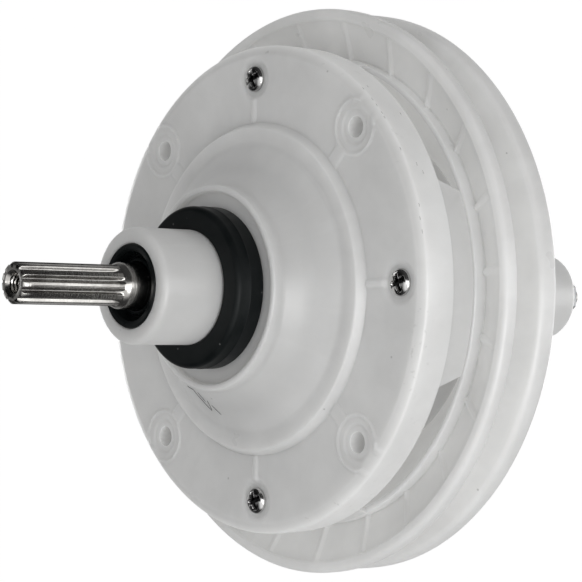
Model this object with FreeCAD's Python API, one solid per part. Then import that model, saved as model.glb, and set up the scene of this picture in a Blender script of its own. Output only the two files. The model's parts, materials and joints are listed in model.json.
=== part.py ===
import FreeCAD, Part
import math
import os

# Planetary reduction gearbox of a twin-tub washing machine, in millimetres.
# The belt turns the large plastic pulley below, the pulley turns the sun gear,
# and the planet carrier turns the splined output shaft above at 15/72 of its speed.
# Z runs up along the output shaft, and z = 0 is the face that bolts up under the tub.
# X runs through one of the four cover screws.

# Clearances
press_clearance = 0.02
running_clearance = 0.05
spigot_clearance = 0.20
axial_play = 0.15
face_clearance = 0.10

# How far a rib is sunk into what carries it, and how far a cut runs past the face that it opens
root_overlap = 0.5
cut_margin = 1.0

# Cover flange
flange_radius = 65.0
flange_depth = 10.3
flange_plate = 4.0
flange_skirt = 3.0
flange_bevel_width = 2.7
flange_bevel_drop = 1.3
flange_rib_thickness = 1.8
flange_rib_count = 8
flange_rib_rise = 1.0

# Bolt square of the tub, 80 mm between holes
mounting_square = 80.0
mounting_hole_radius = 2.8
mounting_boss_wall = 3.6
mounting_ring_radius = 7.4
mounting_ring_width = 1.1
mounting_ring_height = 0.5
mounting_dish_radius = 4.6
mounting_dish_depth = 0.4
mounting_rib_width = 4.0
mounting_rib_height = 0.6

# Step ring, cone and collar of the cover
step_foot_radius = 44.5
step_edge_radius = 43.0
step_height = 2.6
cone_foot_radius = 38.5
cone_hollow = 0.9
cone_sweep_inward = 1.2
cone_sweep_down = 1.0
cone_sweep_round = 14.0
cone_wall = 3.6
collar_radius = 27.0
collar_wall = 1.7
collar_lip = 1.6
collar_foot_drop = 3.4

# Neck of the cover, which passes through the tub floor
neck_radius = 15.0
neck_height = 41.5
neck_edge_round = 1.7
seat_height = 14.4
bush_tube_wall = 4.6

# Rubber ring that seals the neck in the tub floor
tub_seal_radius = 21.2
tub_seal_thickness = 8.6
tub_seal_grip = 0.25
tub_seal_front_round = 2.0
tub_seal_rear_round = 0.5

# Output shaft and its spline
output_shaft_radius = 6.0
shaft_reach = 76.8
spline_radius = 5.27
spline_root_radius = 4.55
spline_count = 11
spline_start = 46.4
spline_runout = 2.2
spline_runout_step = 0.1
spline_crest_angle = 14.0
spline_root_angle = 9.0
spline_phase = -5.7
shaft_shoulder_taper = 1.2
tip_chamfer = 0.6
tip_thread_radius = 2.5
tip_thread_depth = 18.0
tip_thread_chamfer = 0.6

# Plain bushes of the output shaft
output_bush_wall = 2.0
output_bush_length = 12.0
bush_ledge = 0.8

# Oil seals: 22 x 12 x 7 above, 19 x 10 x 7 below
output_seal_radius = 11.0
output_seal_thickness = 7.0
output_seal_recess = 0.0
input_seal_radius = 9.5
input_seal_thickness = 7.0
input_seal_recess = 0.5
seal_shell = 1.3
seal_web = 2.2
seal_web_thickness = 1.6
seal_lip_share = 0.62
seal_lip_top = 0.9
seal_lip_thickness = 1.0
seal_lip_root = 1.3
seal_inner_lip_root = 1.5
seal_inner_lip_tip = 1.2
seal_inner_lip_slope = 0.5
seal_inner_lip_depth = 2.6
garter_wire_radius = 0.55
garter_gap = 0.1
garter_lift = 0.25

# Clips and thrust washers
clip_pocket_depth = 3.0
clip_pocket_radius = 9.5
clip_thickness = 1.0
clip_groove_depth = 0.4
clip_width = 2.4
clip_gap = 3.0
thrust_washer_thickness = 1.0
thrust_washer_width = 2.4

# Gears
gear_module = 1.25
sun_teeth = 15
planet_teeth = 21
planet_count = 4
pressure_angle = 20.0
tooth_thinning = 0.15
gear_face = 16.0

# Ring gear and its keys
ring_gear_height = 17.0
ring_gear_wall = 4.6
ring_gear_ledge = 2.6
ring_key_radius = 1.6
ring_key_count = 6

# Planet carrier
carrier_radius = 30.0
carrier_top_thickness = 6.0
carrier_bottom_thickness = 4.0
planet_pin_radius = 3.0
planet_pin_head = 0.8
planet_pin_head_width = 1.2
planet_washer_thickness = 0.8
planet_washer_radius = 6.0

# Pilot of the input shaft inside the output shaft
pilot_radius = 3.0
pilot_length = 8.0
pilot_bush_wall = 1.4
pilot_end_gap = 1.0
pilot_chamfer = 0.5

# Input shaft and its bushes
input_shaft_radius = 5.0
input_bush_wall = 3.0
upper_input_bush_length = 14.0
lower_input_bush_length = 12.0
input_bush_space = 10.0
sun_hub_radius = 7.0
sun_hub_gap = 1.0
shaft_flat_depth = 1.0
thread_radius = 3.0
thread_end_chamfer = 0.6
thread_showing = 3.2

# Lower casing
casing_wall = 3.7
casing_floor = 4.0
casing_floor_gap = 1.2
casing_flange_thickness = 3.0
casing_rim_width = 2.0
casing_corner_round = 4.0
casing_tube_radius = 13.0
casing_rib_thickness = 2.4
casing_rib_count = 8
casing_rib_reach = 26.0
casing_rib_depth = 22.0
casing_rib_tip = 1.0
register_depth = 2.0
register_wall = 3.6

# Lugs that the cover screws reach, one behind each screw
lug_radius = 63.6
lug_depth = 8.1
lug_top_half_angle = 24.7
lug_bottom_half_angle = 21.5
lug_wall = 3.0

# Gasket in the rim of the casing
gasket_inner_radius = 44.1
gasket_width = 2.2
gasket_depth = 1.5

# Cover screws
screw_circle_radius = 56.3
screw_count = 4
screw_radius = 2.0
screw_head_radius = 3.5
screw_head_height = 2.2
screw_length = 16.5
screw_hole_reserve = 0.3
screw_point_length = 2.4
screw_point_share = 0.35
screw_dome_share = 0.62
screw_dome_drop = 0.15
screw_recess_radius = 5.0
screw_recess_depth = 1.0
screw_boss_radius = 5.4
screw_rib_width = 1.6
screw_rib_height = 1.0
cross_width = 0.95
cross_span = 4.0
cross_depth = 1.3
cross_turn = 20.0

# Pulley: drum, ribbed pocket and front lip
drum_radius = 61.6
drum_wall = 1.7
drum_gap = 1.1
pocket_depth = 3.7
lip_inner_radius = 73.1
lip_radius = 76.4
lip_rise = 2.3
lip_land = 0.8
pulley_rib_count = 24
pulley_rib_thickness = 1.6
pulley_rib_phase = 2.6
pulley_rib_drop = 0.6
pulley_rib_run = 3.0

# Pulley: belt groove and rear rim
belt_width = 9.5
groove_angle = 38.0
groove_depth = 8.5
front_lip_land = 3.8
rear_rim_radius = 76.0
rear_rim_width = 5.5
rear_rim_wall = 2.8
rear_rim_floor = 2.4
rear_gusset_rise = 1.5
pulley_wall = 3.0

# Pulley: bell and hub
bell_drum_depth = 20.2
bell_corner_round = 13.0
bell_taper = 1.0
bell_foot_width = 1.5
bell_foot_depth = 3.0
bell_rib_start = 9.0
bell_rib_lead_in = 2.0
bell_rib_end = 4.0
bell_rib_count = 8
bell_rib_height = 2.4
bell_rib_thickness = 2.2
hub_radius = 12.5
hub_length = 28.5
hub_gap = 4.0
hub_end_round = 4.5
hub_gusset_count = 8
hub_gusset_drop = 2.0
insert_wall = 3.0
insert_recess = 0.5

# Washers and nut on the end of the input shaft
end_washer_radius = 6.0
end_washer_thickness = 1.2
spring_washer_radius = 5.2
spring_washer_thickness = 1.6
spring_washer_slot = 1.2
nut_across_flats = 10.0
nut_height = 5.0
nut_edge_share = 0.6
bolt_gap = 0.2
spring_washer_turn = 25.0


# Gear radii
ring_teeth = sun_teeth + 2 * planet_teeth
sun_pitch_radius = gear_module * sun_teeth / 2
planet_pitch_radius = gear_module * planet_teeth / 2
ring_pitch_radius = gear_module * ring_teeth / 2
planet_circle_radius = sun_pitch_radius + planet_pitch_radius
ring_root_radius = ring_pitch_radius + 1.25 * gear_module
ring_outer_radius = ring_root_radius + ring_gear_wall

# Radii of the casing, from the ring gear outwards
casing_bore_radius = ring_outer_radius + spigot_clearance
casing_radius = casing_bore_radius + casing_wall
casing_rim_radius = casing_radius + casing_rim_width
register_radius = casing_bore_radius - spigot_clearance
register_bore_radius = register_radius - register_wall
output_bush_radius = output_shaft_radius + output_bush_wall
input_bush_radius = input_shaft_radius + input_bush_wall
bush_tube_radius = output_bush_radius + bush_tube_wall
mounting_circle_radius = mounting_square / math.sqrt(2)

# Levels inside the neck, from its top down
neck_top = neck_height
tub_seal_top = seat_height + tub_seal_thickness
output_seal_floor = neck_top - output_seal_recess - output_seal_thickness
clip_pocket_floor = output_seal_floor - clip_pocket_depth
upper_bush_bottom = clip_pocket_floor - output_bush_length
output_washer_bottom = clip_pocket_floor + face_clearance
output_clip_bottom = output_washer_bottom + thrust_washer_thickness + axial_play

# Levels of the gear train, from the joint of the two casings down
joint_z = -flange_depth
register_bottom = joint_z - register_depth
ring_gear_top = register_bottom - face_clearance
ring_gear_bottom = ring_gear_top - ring_gear_height
gear_middle = (ring_gear_top + ring_gear_bottom) / 2
planet_top = gear_middle + gear_face / 2
planet_bottom = gear_middle - gear_face / 2
top_plate_bottom = planet_top + axial_play + planet_washer_thickness
top_plate_top = top_plate_bottom + carrier_top_thickness
carrier_washer_bottom = top_plate_top + face_clearance
bush_tube_end = carrier_washer_bottom + thrust_washer_thickness + face_clearance
lower_bush_top = bush_tube_end + output_bush_length
bottom_plate_top = planet_bottom - axial_play - planet_washer_thickness
bottom_plate_bottom = bottom_plate_top - carrier_bottom_thickness
casing_floor_top = bottom_plate_bottom - casing_floor_gap - planet_pin_head
casing_floor_bottom = casing_floor_top - casing_floor

# Levels of the input side, down the casing tube
sun_washer_bottom = casing_floor_top + face_clearance
sun_hub_bottom = sun_washer_bottom + thrust_washer_thickness + axial_play
upper_input_bush_bottom = casing_floor_top - upper_input_bush_length
lower_input_bush_top = upper_input_bush_bottom - input_bush_space
lower_input_bush_bottom = lower_input_bush_top - lower_input_bush_length
input_clip_top = lower_input_bush_bottom - axial_play
input_seal_ceiling = input_clip_top - clip_thickness - axial_play
casing_tube_bottom = input_seal_ceiling - input_seal_thickness - input_seal_recess
hub_top = casing_tube_bottom - hub_gap
hub_bottom = hub_top - hub_length
end_washer_bottom = hub_bottom - end_washer_thickness
spring_washer_bottom = end_washer_bottom - spring_washer_thickness
nut_bottom = spring_washer_bottom - nut_height
input_shaft_bottom = nut_bottom - thread_showing
pilot_top = planet_top + pilot_length

# Levels of the pulley rim
lug_bottom = joint_z - lug_depth
drum_top = lug_bottom - drum_gap
pocket_floor = drum_top - pocket_depth
lip_top = drum_top + lip_rise
groove_top = lip_top - front_lip_land
groove_middle = groove_top - belt_width / 2
groove_floor_radius = rear_rim_radius - groove_depth
groove_floor_half = belt_width / 2 - groove_depth * math.tan(math.radians(groove_angle / 2))
groove_bottom = groove_top - belt_width
rim_bottom = groove_bottom - rear_rim_width
bell_top_radius = drum_radius + pulley_wall
bell_knee = drum_top - bell_drum_depth - pulley_wall


def vector(radius, degrees, z):
    """Point at a radius and an angle about the axis."""
    angle = math.radians(degrees)
    return FreeCAD.Vector(radius * math.cos(angle), radius * math.sin(angle), z)


def corner_arc(before, corner, after, radius):
    """Start, middle and end of the arc that rounds one corner of an outline."""
    to_before = (before - corner)
    to_after = (after - corner)
    half = to_before.getAngle(to_after) / 2
    room = 0.49 * min(to_before.Length, to_after.Length)
    setback = min(radius / math.tan(half), room)
    radius = setback * math.tan(half)
    to_before.normalize()
    to_after.normalize()
    bisector = to_before + to_after
    bisector.normalize()
    start = corner + to_before * setback
    end = corner + to_after * setback
    middle = corner + bisector * (radius / math.sin(half) - radius)
    return start, middle, end


def outline_face(corners):
    """Face in the XZ plane from corners (radius, z) or (radius, z, rounding)."""
    points = [FreeCAD.Vector(corner[0], 0, corner[1]) for corner in corners]
    stretches = []
    for index, corner in enumerate(corners):
        point = points[index]
        if len(corner) > 2:
            following = points[(index + 1) % len(points)]
            stretches.append(corner_arc(points[index - 1], point, following, corner[2]))
        else:
            stretches.append((point, None, point))
    edges = []
    for index, (start, middle, end) in enumerate(stretches):
        if middle is not None:
            edges.append(Part.Arc(start, middle, end).toShape())
        following = stretches[(index + 1) % len(stretches)][0]
        if end.distanceToPoint(following) > 1e-6:
            edges.append(Part.makeLine(end, following))
    return Part.Face(Part.Wire(edges))


def turned(corners):
    """Solid of revolution about Z."""
    return outline_face(corners).revolve(FreeCAD.Vector(0, 0, 0), FreeCAD.Vector(0, 0, 1), 360)


def ring(inner_radius, outer_radius, bottom, top):
    """Plain ring."""
    corners = [(inner_radius, bottom), (outer_radius, bottom), (outer_radius, top), (inner_radius, top)]
    return turned(corners)


def disc(radius, bottom, top, degrees=0.0, distance=0.0):
    """Plain cylinder along Z, on the axis or at a distance from it."""
    return Part.makeCylinder(radius, top - bottom, vector(distance, degrees, bottom))


def plate(corners, thickness, degrees):
    """Flat radial rib from corners (radius, z), turned to an angle about the axis."""
    points = [FreeCAD.Vector(radius, -thickness / 2, z) for radius, z in corners]
    face = Part.Face(Part.makePolygon(points + points[:1]))
    rib = face.extrude(FreeCAD.Vector(0, thickness, 0))
    rib.rotate(FreeCAD.Vector(0, 0, 0), FreeCAD.Vector(0, 0, 1), degrees)
    return rib


def angles(count, start=0.0):
    """Even angles about the axis."""
    return [start + 360 * index / count for index in range(count)]


def sector_wire(inner_radius, outer_radius, half_angle, z):
    """Outline of a piece of a ring, centred on the X axis."""
    outer = Part.Arc(
        vector(outer_radius, -half_angle, z), vector(outer_radius, 0, z), vector(outer_radius, half_angle, z)
    )
    inner = Part.Arc(
        vector(inner_radius, half_angle, z), vector(inner_radius, 0, z), vector(inner_radius, -half_angle, z)
    )
    sides = [
        Part.makeLine(vector(outer_radius, half_angle, z), vector(inner_radius, half_angle, z)),
        Part.makeLine(vector(inner_radius, -half_angle, z), vector(outer_radius, -half_angle, z)),
    ]
    return Part.Wire([outer.toShape(), sides[0], inner.toShape(), sides[1]])


def involute(angle):
    return math.tan(angle) - angle


def gear_outline(teeth, tip_radius, root_radius, thinning, z):
    """Involute outline with a tooth centred on the X axis. A negative thinning widens the teeth."""
    pitch_radius = gear_module * teeth / 2
    pressure = math.radians(pressure_angle)
    base_radius = pitch_radius * math.cos(pressure)
    half_at_pitch = math.pi / (2 * teeth) - thinning / (2 * pitch_radius)

    def half_angle(radius):
        if radius <= base_radius:
            return math.degrees(half_at_pitch + involute(pressure))
        at_radius = math.acos(base_radius / radius)
        return math.degrees(half_at_pitch + involute(pressure) - involute(at_radius))

    flank_start = max(base_radius, root_radius)
    flank_middle = (flank_start + tip_radius) / 2
    pitch_angle = 360 / teeth
    edges = []
    for index in range(teeth):
        centre = index * pitch_angle
        rising = [
            vector(radius, centre - half_angle(radius), z)
            for radius in (flank_start, flank_middle, tip_radius)
        ]
        falling = [
            vector(radius, centre + half_angle(radius), z)
            for radius in (tip_radius, flank_middle, flank_start)
        ]
        foot_rising = vector(root_radius, centre - half_angle(root_radius), z)
        foot_falling = vector(root_radius, centre + half_angle(root_radius), z)
        if root_radius < base_radius:
            edges.append(Part.makeLine(foot_rising, rising[0]))
        edges.append(Part.Arc(*rising).toShape())
        edges.append(Part.Arc(rising[2], vector(tip_radius, centre, z), falling[0]).toShape())
        edges.append(Part.Arc(*falling).toShape())
        if root_radius < base_radius:
            edges.append(Part.makeLine(falling[2], foot_falling))
        next_foot = vector(root_radius, centre + pitch_angle - half_angle(root_radius), z)
        between = vector(root_radius, centre + pitch_angle / 2, z)
        edges.append(Part.Arc(foot_falling, between, next_foot).toShape())
    return Part.Face(Part.Wire(edges))


def external_gear(teeth, bottom, top):
    """Spur gear blank without its bore."""
    pitch_radius = gear_module * teeth / 2
    tip_radius = pitch_radius + gear_module
    root_radius = pitch_radius - 1.25 * gear_module
    outline = gear_outline(teeth, tip_radius, root_radius, tooth_thinning, bottom)
    return outline.extrude(FreeCAD.Vector(0, 0, top - bottom))


def make_upper_cover():
    """Moulded cover: flange, step ring, cone, collar and neck, with the bush tube inside."""
    under_plate = -flange_plate
    skirt_bore = flange_radius - flange_skirt
    land_radius = casing_rim_radius - casing_rim_width
    collar_top = seat_height + collar_lip
    cone_top = collar_top - collar_foot_drop
    cone_ceiling = seat_height - cone_wall - cone_hollow
    step_ceiling = step_height - cone_wall
    cone_middle_radius = (collar_radius + cone_foot_radius) / 2 - cone_sweep_inward
    cone_middle_z = (cone_top + step_height) / 2 - cone_sweep_down
    body = turned([
        (output_seal_radius, neck_top, 0.4),
        (neck_radius, neck_top, neck_edge_round),
        (neck_radius, tub_seal_top),
        (neck_radius - tub_seal_grip, tub_seal_top),
        (neck_radius - tub_seal_grip, seat_height),
        (collar_radius - collar_wall, seat_height, 0.6),
        (collar_radius - collar_wall, collar_top, 0.5),
        (collar_radius, collar_top, 0.7),
        (collar_radius, cone_top, 3.0),
        (cone_middle_radius, cone_middle_z, cone_sweep_round),
        (cone_foot_radius, step_height, 4.0),
        (step_edge_radius, step_height, 1.2),
        (step_foot_radius, 0, 0.8),
        (flange_radius - flange_bevel_width, 0, 2.0),
        (flange_radius, -flange_bevel_drop, 1.0),
        (flange_radius, joint_z),
        (skirt_bore, joint_z),
        (skirt_bore, under_plate, 1.0),
        (land_radius, under_plate, 1.0),
        (land_radius, joint_z),
        (register_radius, joint_z),
        (register_radius, register_bottom, 0.3),
        (register_bore_radius, register_bottom),
        (register_bore_radius, step_ceiling, 2.0),
        (cone_foot_radius - cone_wall, step_ceiling, 3.0),
        (collar_radius - cone_wall, cone_ceiling, 3.0),
        (bush_tube_radius, cone_ceiling, 1.0),
        (bush_tube_radius, bush_tube_end, 0.5),
        (output_bush_radius, bush_tube_end),
        (output_bush_radius, lower_bush_top),
        (output_bush_radius - bush_ledge, lower_bush_top),
        (output_bush_radius - bush_ledge, upper_bush_bottom),
        (output_bush_radius, upper_bush_bottom),
        (output_bush_radius, clip_pocket_floor),
        (clip_pocket_radius, clip_pocket_floor),
        (clip_pocket_radius, output_seal_floor),
        (output_seal_radius, output_seal_floor),
    ])
    added = []
    removed = []
    rib_start = step_edge_radius + root_overlap
    screw_rib_end = screw_circle_radius - screw_recess_radius + root_overlap
    for degrees in angles(screw_count):
        added.append(disc(screw_boss_radius, joint_z, under_plate, degrees, screw_circle_radius))
        added.append(plate([
            (rib_start, -root_overlap),
            (screw_rib_end, -root_overlap),
            (screw_rib_end, screw_rib_height),
            (rib_start, screw_rib_height),
        ], screw_rib_width, degrees))
        shank_radius = screw_radius + spigot_clearance
        recess_top = screw_rib_height + cut_margin
        removed.append(disc(shank_radius, joint_z - cut_margin, 0, degrees, screw_circle_radius))
        recess = disc(screw_recess_radius, -screw_recess_depth, recess_top, degrees, screw_circle_radius)
        removed.append(recess)
    for degrees in angles(4, 45):
        centre = (degrees, mounting_circle_radius)
        boss_radius = mounting_hole_radius + mounting_boss_wall
        ring_inner_radius = mounting_ring_radius - mounting_ring_width
        added.append(disc(boss_radius, joint_z, under_plate, *centre))
        raised = disc(mounting_ring_radius, -root_overlap, mounting_ring_height, *centre)
        inside = disc(ring_inner_radius, -root_overlap, mounting_ring_height, *centre)
        added.append(raised.cut(inside))
        rib_end = mounting_circle_radius - ring_inner_radius - root_overlap
        added.append(plate([
            (rib_start, -root_overlap),
            (rib_end, -root_overlap),
            (rib_end, mounting_rib_height),
            (rib_start, mounting_rib_height),
        ], mounting_rib_width, degrees))
        removed.append(disc(mounting_hole_radius, joint_z - cut_margin, 0, *centre))
        removed.append(disc(mounting_dish_radius, -mounting_dish_depth, cut_margin, *centre))
    for degrees in angles(flange_rib_count, 180 / flange_rib_count):
        added.append(plate([
            (land_radius - root_overlap, under_plate + root_overlap),
            (skirt_bore + root_overlap, under_plate + root_overlap),
            (skirt_bore + root_overlap, joint_z + flange_rib_rise),
            (land_radius - root_overlap, joint_z + flange_rib_rise),
        ], flange_rib_thickness, degrees))
    return body.fuse(added).cut(removed)


def make_lower_casing():
    """Moulded cup for the gears, with the bearing tube below and four hollow lugs for the screws."""
    ledge_radius = ring_outer_radius - ring_gear_ledge
    flange_bottom = joint_z - casing_flange_thickness
    body = turned([
        (casing_bore_radius, joint_z),
        (casing_rim_radius, joint_z, 0.4),
        (casing_rim_radius, flange_bottom, 0.4),
        (casing_radius, flange_bottom, 0.8),
        (casing_radius, casing_floor_bottom, casing_corner_round),
        (casing_tube_radius, casing_floor_bottom, 1.5),
        (casing_tube_radius, casing_tube_bottom, 0.8),
        (input_seal_radius, casing_tube_bottom),
        (input_seal_radius, lower_input_bush_bottom),
        (input_bush_radius, lower_input_bush_bottom),
        (input_bush_radius, lower_input_bush_top),
        (input_bush_radius - bush_ledge, lower_input_bush_top),
        (input_bush_radius - bush_ledge, upper_input_bush_bottom),
        (input_bush_radius, upper_input_bush_bottom),
        (input_bush_radius, casing_floor_top),
        (ledge_radius, casing_floor_top, 1.5),
        (ledge_radius, ring_gear_bottom),
        (casing_bore_radius, ring_gear_bottom),
    ])
    inner_wall = casing_rim_radius - root_overlap
    pocket_top = joint_z - lug_wall
    wall_angle = math.degrees(lug_wall / lug_radius)
    top_wire = sector_wire(inner_wall, lug_radius, lug_top_half_angle, joint_z)
    bottom_wire = sector_wire(inner_wall, lug_radius, lug_bottom_half_angle, lug_bottom)
    block = Part.makeLoft([top_wire, bottom_wire], True, True)
    pocket_outer = lug_radius - lug_wall
    pocket_angle = lug_bottom_half_angle - wall_angle
    pocket_inner = casing_rim_radius + root_overlap
    pocket_wire = sector_wire(pocket_inner, pocket_outer, pocket_angle, lug_bottom - cut_margin)
    pocket = Part.Face(pocket_wire).extrude(FreeCAD.Vector(0, 0, pocket_top - lug_bottom + cut_margin))
    boss = disc(screw_boss_radius, lug_bottom, joint_z, 0, screw_circle_radius)
    lug = block.cut(pocket).fuse(boss.common(block))
    added = []
    removed = []
    for degrees in angles(screw_count):
        copy = lug.copy()
        copy.rotate(FreeCAD.Vector(0, 0, 0), FreeCAD.Vector(0, 0, 1), degrees)
        added.append(copy)
        hole_bottom = -screw_recess_depth - screw_length - screw_hole_reserve
        hole_radius = screw_radius + press_clearance
        removed.append(disc(hole_radius, hole_bottom, joint_z + cut_margin, degrees, screw_circle_radius))
    for degrees in angles(casing_rib_count, 180 / casing_rib_count):
        added.append(plate([
            (casing_tube_radius - root_overlap, casing_floor_bottom + root_overlap),
            (casing_tube_radius + casing_rib_reach, casing_floor_bottom + root_overlap),
            (casing_tube_radius + casing_rib_reach, casing_floor_bottom - casing_rib_tip),
            (casing_tube_radius - root_overlap, casing_floor_bottom - casing_rib_depth),
        ], casing_rib_thickness, degrees))
    for degrees in angles(ring_key_count):
        slot_radius = ring_key_radius + spigot_clearance
        removed.append(disc(slot_radius, ring_gear_bottom, joint_z + cut_margin, degrees, ring_outer_radius))
    removed.append(ring(
        gasket_inner_radius - press_clearance,
        gasket_inner_radius + gasket_width + press_clearance,
        joint_z - gasket_depth,
        joint_z + cut_margin,
    ))
    return body.fuse(added).cut(removed)


def make_casing_gasket():
    """Square rubber cord in the rim of the casing, closed by the cover."""
    return ring(gasket_inner_radius, gasket_inner_radius + gasket_width, joint_z - gasket_depth, joint_z)


def make_ring_gear():
    """Internal gear, keyed into the casing by half-round keys."""
    blank = disc(ring_outer_radius, ring_gear_bottom, ring_gear_top)
    keys = [
        disc(ring_key_radius, ring_gear_bottom, ring_gear_top, degrees, ring_outer_radius)
        for degrees in angles(ring_key_count)
    ]
    tooth_tip_radius = ring_pitch_radius - gear_module
    space_bottom = ring_gear_bottom - cut_margin
    outline = gear_outline(ring_teeth, ring_root_radius, tooth_tip_radius, -tooth_thinning, space_bottom)
    space = outline.extrude(FreeCAD.Vector(0, 0, ring_gear_height + 2 * cut_margin))
    return blank.fuse(keys).cut(space)


def make_tub_seal_ring():
    """Thick rubber ring on the neck, seated in the collar."""
    bottom = seat_height
    inner_radius = neck_radius - tub_seal_grip + press_clearance
    return turned([
        (inner_radius, bottom),
        (tub_seal_radius, bottom, tub_seal_rear_round),
        (tub_seal_radius, tub_seal_top, tub_seal_front_round),
        (inner_radius, tub_seal_top),
    ])


def make_oil_seal(shaft_radius, outer_radius, floor, thickness, outward):
    """Rubber lip seal. Outward is 1 where its open face looks up and -1 where it looks down."""
    bore = shaft_radius + running_clearance
    wall = outer_radius - press_clearance
    open_z = floor + outward * thickness
    lip_z = floor + outward * seal_lip_share * thickness
    web_z = floor + outward * seal_web
    inner_web = floor + outward * (seal_web + seal_web_thickness)
    return turned([
        (bore, lip_z),
        (bore + seal_lip_top, open_z, 0.3),
        (bore + seal_lip_top + seal_lip_thickness, open_z, 0.4),
        (bore + seal_lip_root, inner_web, 0.4),
        (wall - seal_shell, inner_web, 0.4),
        (wall - seal_shell, open_z, 0.4),
        (wall, open_z, 0.5),
        (wall, floor),
        (wall - seal_shell, floor),
        (wall - seal_shell, web_z, 0.4),
        (bore + seal_inner_lip_root, web_z, 0.4),
        (bore + seal_inner_lip_tip, floor, 0.3),
        (bore, floor + outward * seal_inner_lip_tip),
        (bore + seal_inner_lip_slope, floor + outward * seal_inner_lip_depth, 0.3),
    ])


def make_garter_spring(shaft_radius, floor, outward):
    """Closed coil spring round the inner lip of a seal, as its outer shape."""
    lip_radius_outside = shaft_radius + running_clearance + seal_inner_lip_root
    centre_radius = lip_radius_outside + garter_wire_radius + garter_gap
    centre_z = floor + outward * (garter_wire_radius + garter_lift)
    return Part.makeTorus(centre_radius, garter_wire_radius, FreeCAD.Vector(0, 0, centre_z))


def make_bush(shaft_radius, wall, bottom, top):
    """Sintered bush with small chamfers."""
    inner_radius = shaft_radius + running_clearance
    outer_radius = shaft_radius + wall - press_clearance
    edge = 0.3
    return turned([
        (inner_radius, bottom + edge),
        (inner_radius + edge, bottom),
        (outer_radius - edge, bottom),
        (outer_radius, bottom + edge),
        (outer_radius, top - edge),
        (outer_radius - edge, top),
        (inner_radius + edge, top),
        (inner_radius, top - edge),
    ])


def make_thrust_washer(shaft_radius, bottom):
    """Plain washer that runs on a shaft."""
    inner_radius = shaft_radius + running_clearance
    return ring(inner_radius, inner_radius + thrust_washer_width, bottom, bottom + thrust_washer_thickness)


def make_clip(shaft_radius, bottom):
    """Open spring clip in a groove of a shaft."""
    inner_radius = shaft_radius - clip_groove_depth + press_clearance
    band = ring(inner_radius, inner_radius + clip_width, bottom, bottom + clip_thickness)
    reach = inner_radius + clip_width + cut_margin
    gap = Part.makeBox(reach, clip_gap, clip_thickness, FreeCAD.Vector(0, -clip_gap / 2, bottom))
    return band.cut(gap)


def make_output_shaft():
    """Steel output shaft: ground journal, spline, threaded hole in the tip and a bore for the pilot."""
    bottom = top_plate_bottom
    shoulder = spline_start - shaft_shoulder_taper
    pilot_bore_top = pilot_top + pilot_end_gap
    journal = turned([
        (0, bottom),
        (output_shaft_radius, bottom),
        (output_shaft_radius, shoulder),
        (spline_radius, spline_start),
        (0, spline_start),
    ])
    pitch_angle = 360 / spline_count
    edges = []
    for index in range(spline_count):
        centre = spline_phase + index * pitch_angle
        half_crest = spline_crest_angle / 2
        half_root = spline_root_angle / 2
        crest = [vector(spline_radius, centre + turn, spline_start) for turn in (-half_crest, 0, half_crest)]
        middle = centre + pitch_angle / 2
        root = [
            vector(spline_root_radius, middle + turn, spline_start) for turn in (-half_root, 0, half_root)
        ]
        next_crest = vector(spline_radius, centre + pitch_angle - half_crest, spline_start)
        edges.append(Part.Arc(*crest).toShape())
        edges.append(Part.makeLine(crest[2], root[0]))
        edges.append(Part.Arc(*root).toShape())
        edges.append(Part.makeLine(root[2], next_crest))
    spline = Part.Face(Part.Wire(edges)).extrude(FreeCAD.Vector(0, 0, shaft_reach - spline_start))
    tip_cone = turned([
        (0, spline_start - cut_margin),
        (spline_radius + cut_margin, spline_start - cut_margin),
        (spline_radius + cut_margin, shaft_reach - tip_chamfer - cut_margin),
        (spline_radius - tip_chamfer, shaft_reach),
        (0, shaft_reach),
    ])
    runout = Part.makeCone(
        spline_radius,
        spline_root_radius - spline_runout_step,
        spline_runout,
        FreeCAD.Vector(0, 0, spline_start),
    )
    shaft = journal.fuse([spline.common(tip_cone), runout])
    groove = ring(
        output_shaft_radius - clip_groove_depth,
        output_shaft_radius + cut_margin,
        output_clip_bottom - press_clearance,
        output_clip_bottom + clip_thickness + press_clearance,
    )
    pilot_bore = disc(pilot_radius + pilot_bush_wall, bottom - cut_margin, pilot_bore_top)
    thread = disc(tip_thread_radius, shaft_reach - tip_thread_depth, shaft_reach)
    mouth = Part.makeCone(
        tip_thread_radius,
        tip_thread_radius + tip_thread_chamfer,
        tip_thread_chamfer,
        FreeCAD.Vector(0, 0, shaft_reach - tip_thread_chamfer),
    )
    return shaft.cut([groove, pilot_bore, thread, mouth])


def make_carrier_top_plate():
    """Steel plate pressed on the output shaft; it carries the upper ends of the planet pins."""
    body = ring(output_shaft_radius + press_clearance, carrier_radius, top_plate_bottom, top_plate_top)
    pin_hole_radius = planet_pin_radius + press_clearance
    holes = [
        disc(pin_hole_radius, top_plate_bottom, top_plate_top, degrees, planet_circle_radius)
        for degrees in angles(planet_count)
    ]
    return body.cut(holes)


def make_carrier_bottom_plate():
    """Plate that ties the lower ends of the planet pins, open in the middle for the sun gear's hub."""
    body = ring(sun_hub_radius + sun_hub_gap, carrier_radius, bottom_plate_bottom, bottom_plate_top)
    holes = [
        disc(
            planet_pin_radius + press_clearance,
            bottom_plate_bottom,
            bottom_plate_top,
            degrees,
            planet_circle_radius,
        )
        for degrees in angles(planet_count)
    ]
    return body.cut(holes)


def make_planet_pins():
    """Four pins, flush with the top plate and headed under the bottom plate."""
    pins = []
    for degrees in angles(planet_count):
        shank = disc(planet_pin_radius, bottom_plate_bottom, top_plate_top, degrees, planet_circle_radius)
        head = disc(
            planet_pin_radius + planet_pin_head_width,
            bottom_plate_bottom - planet_pin_head,
            bottom_plate_bottom,
            degrees,
            planet_circle_radius,
        )
        pins.append(shank.fuse(head))
    return Part.makeCompound(pins)


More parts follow.
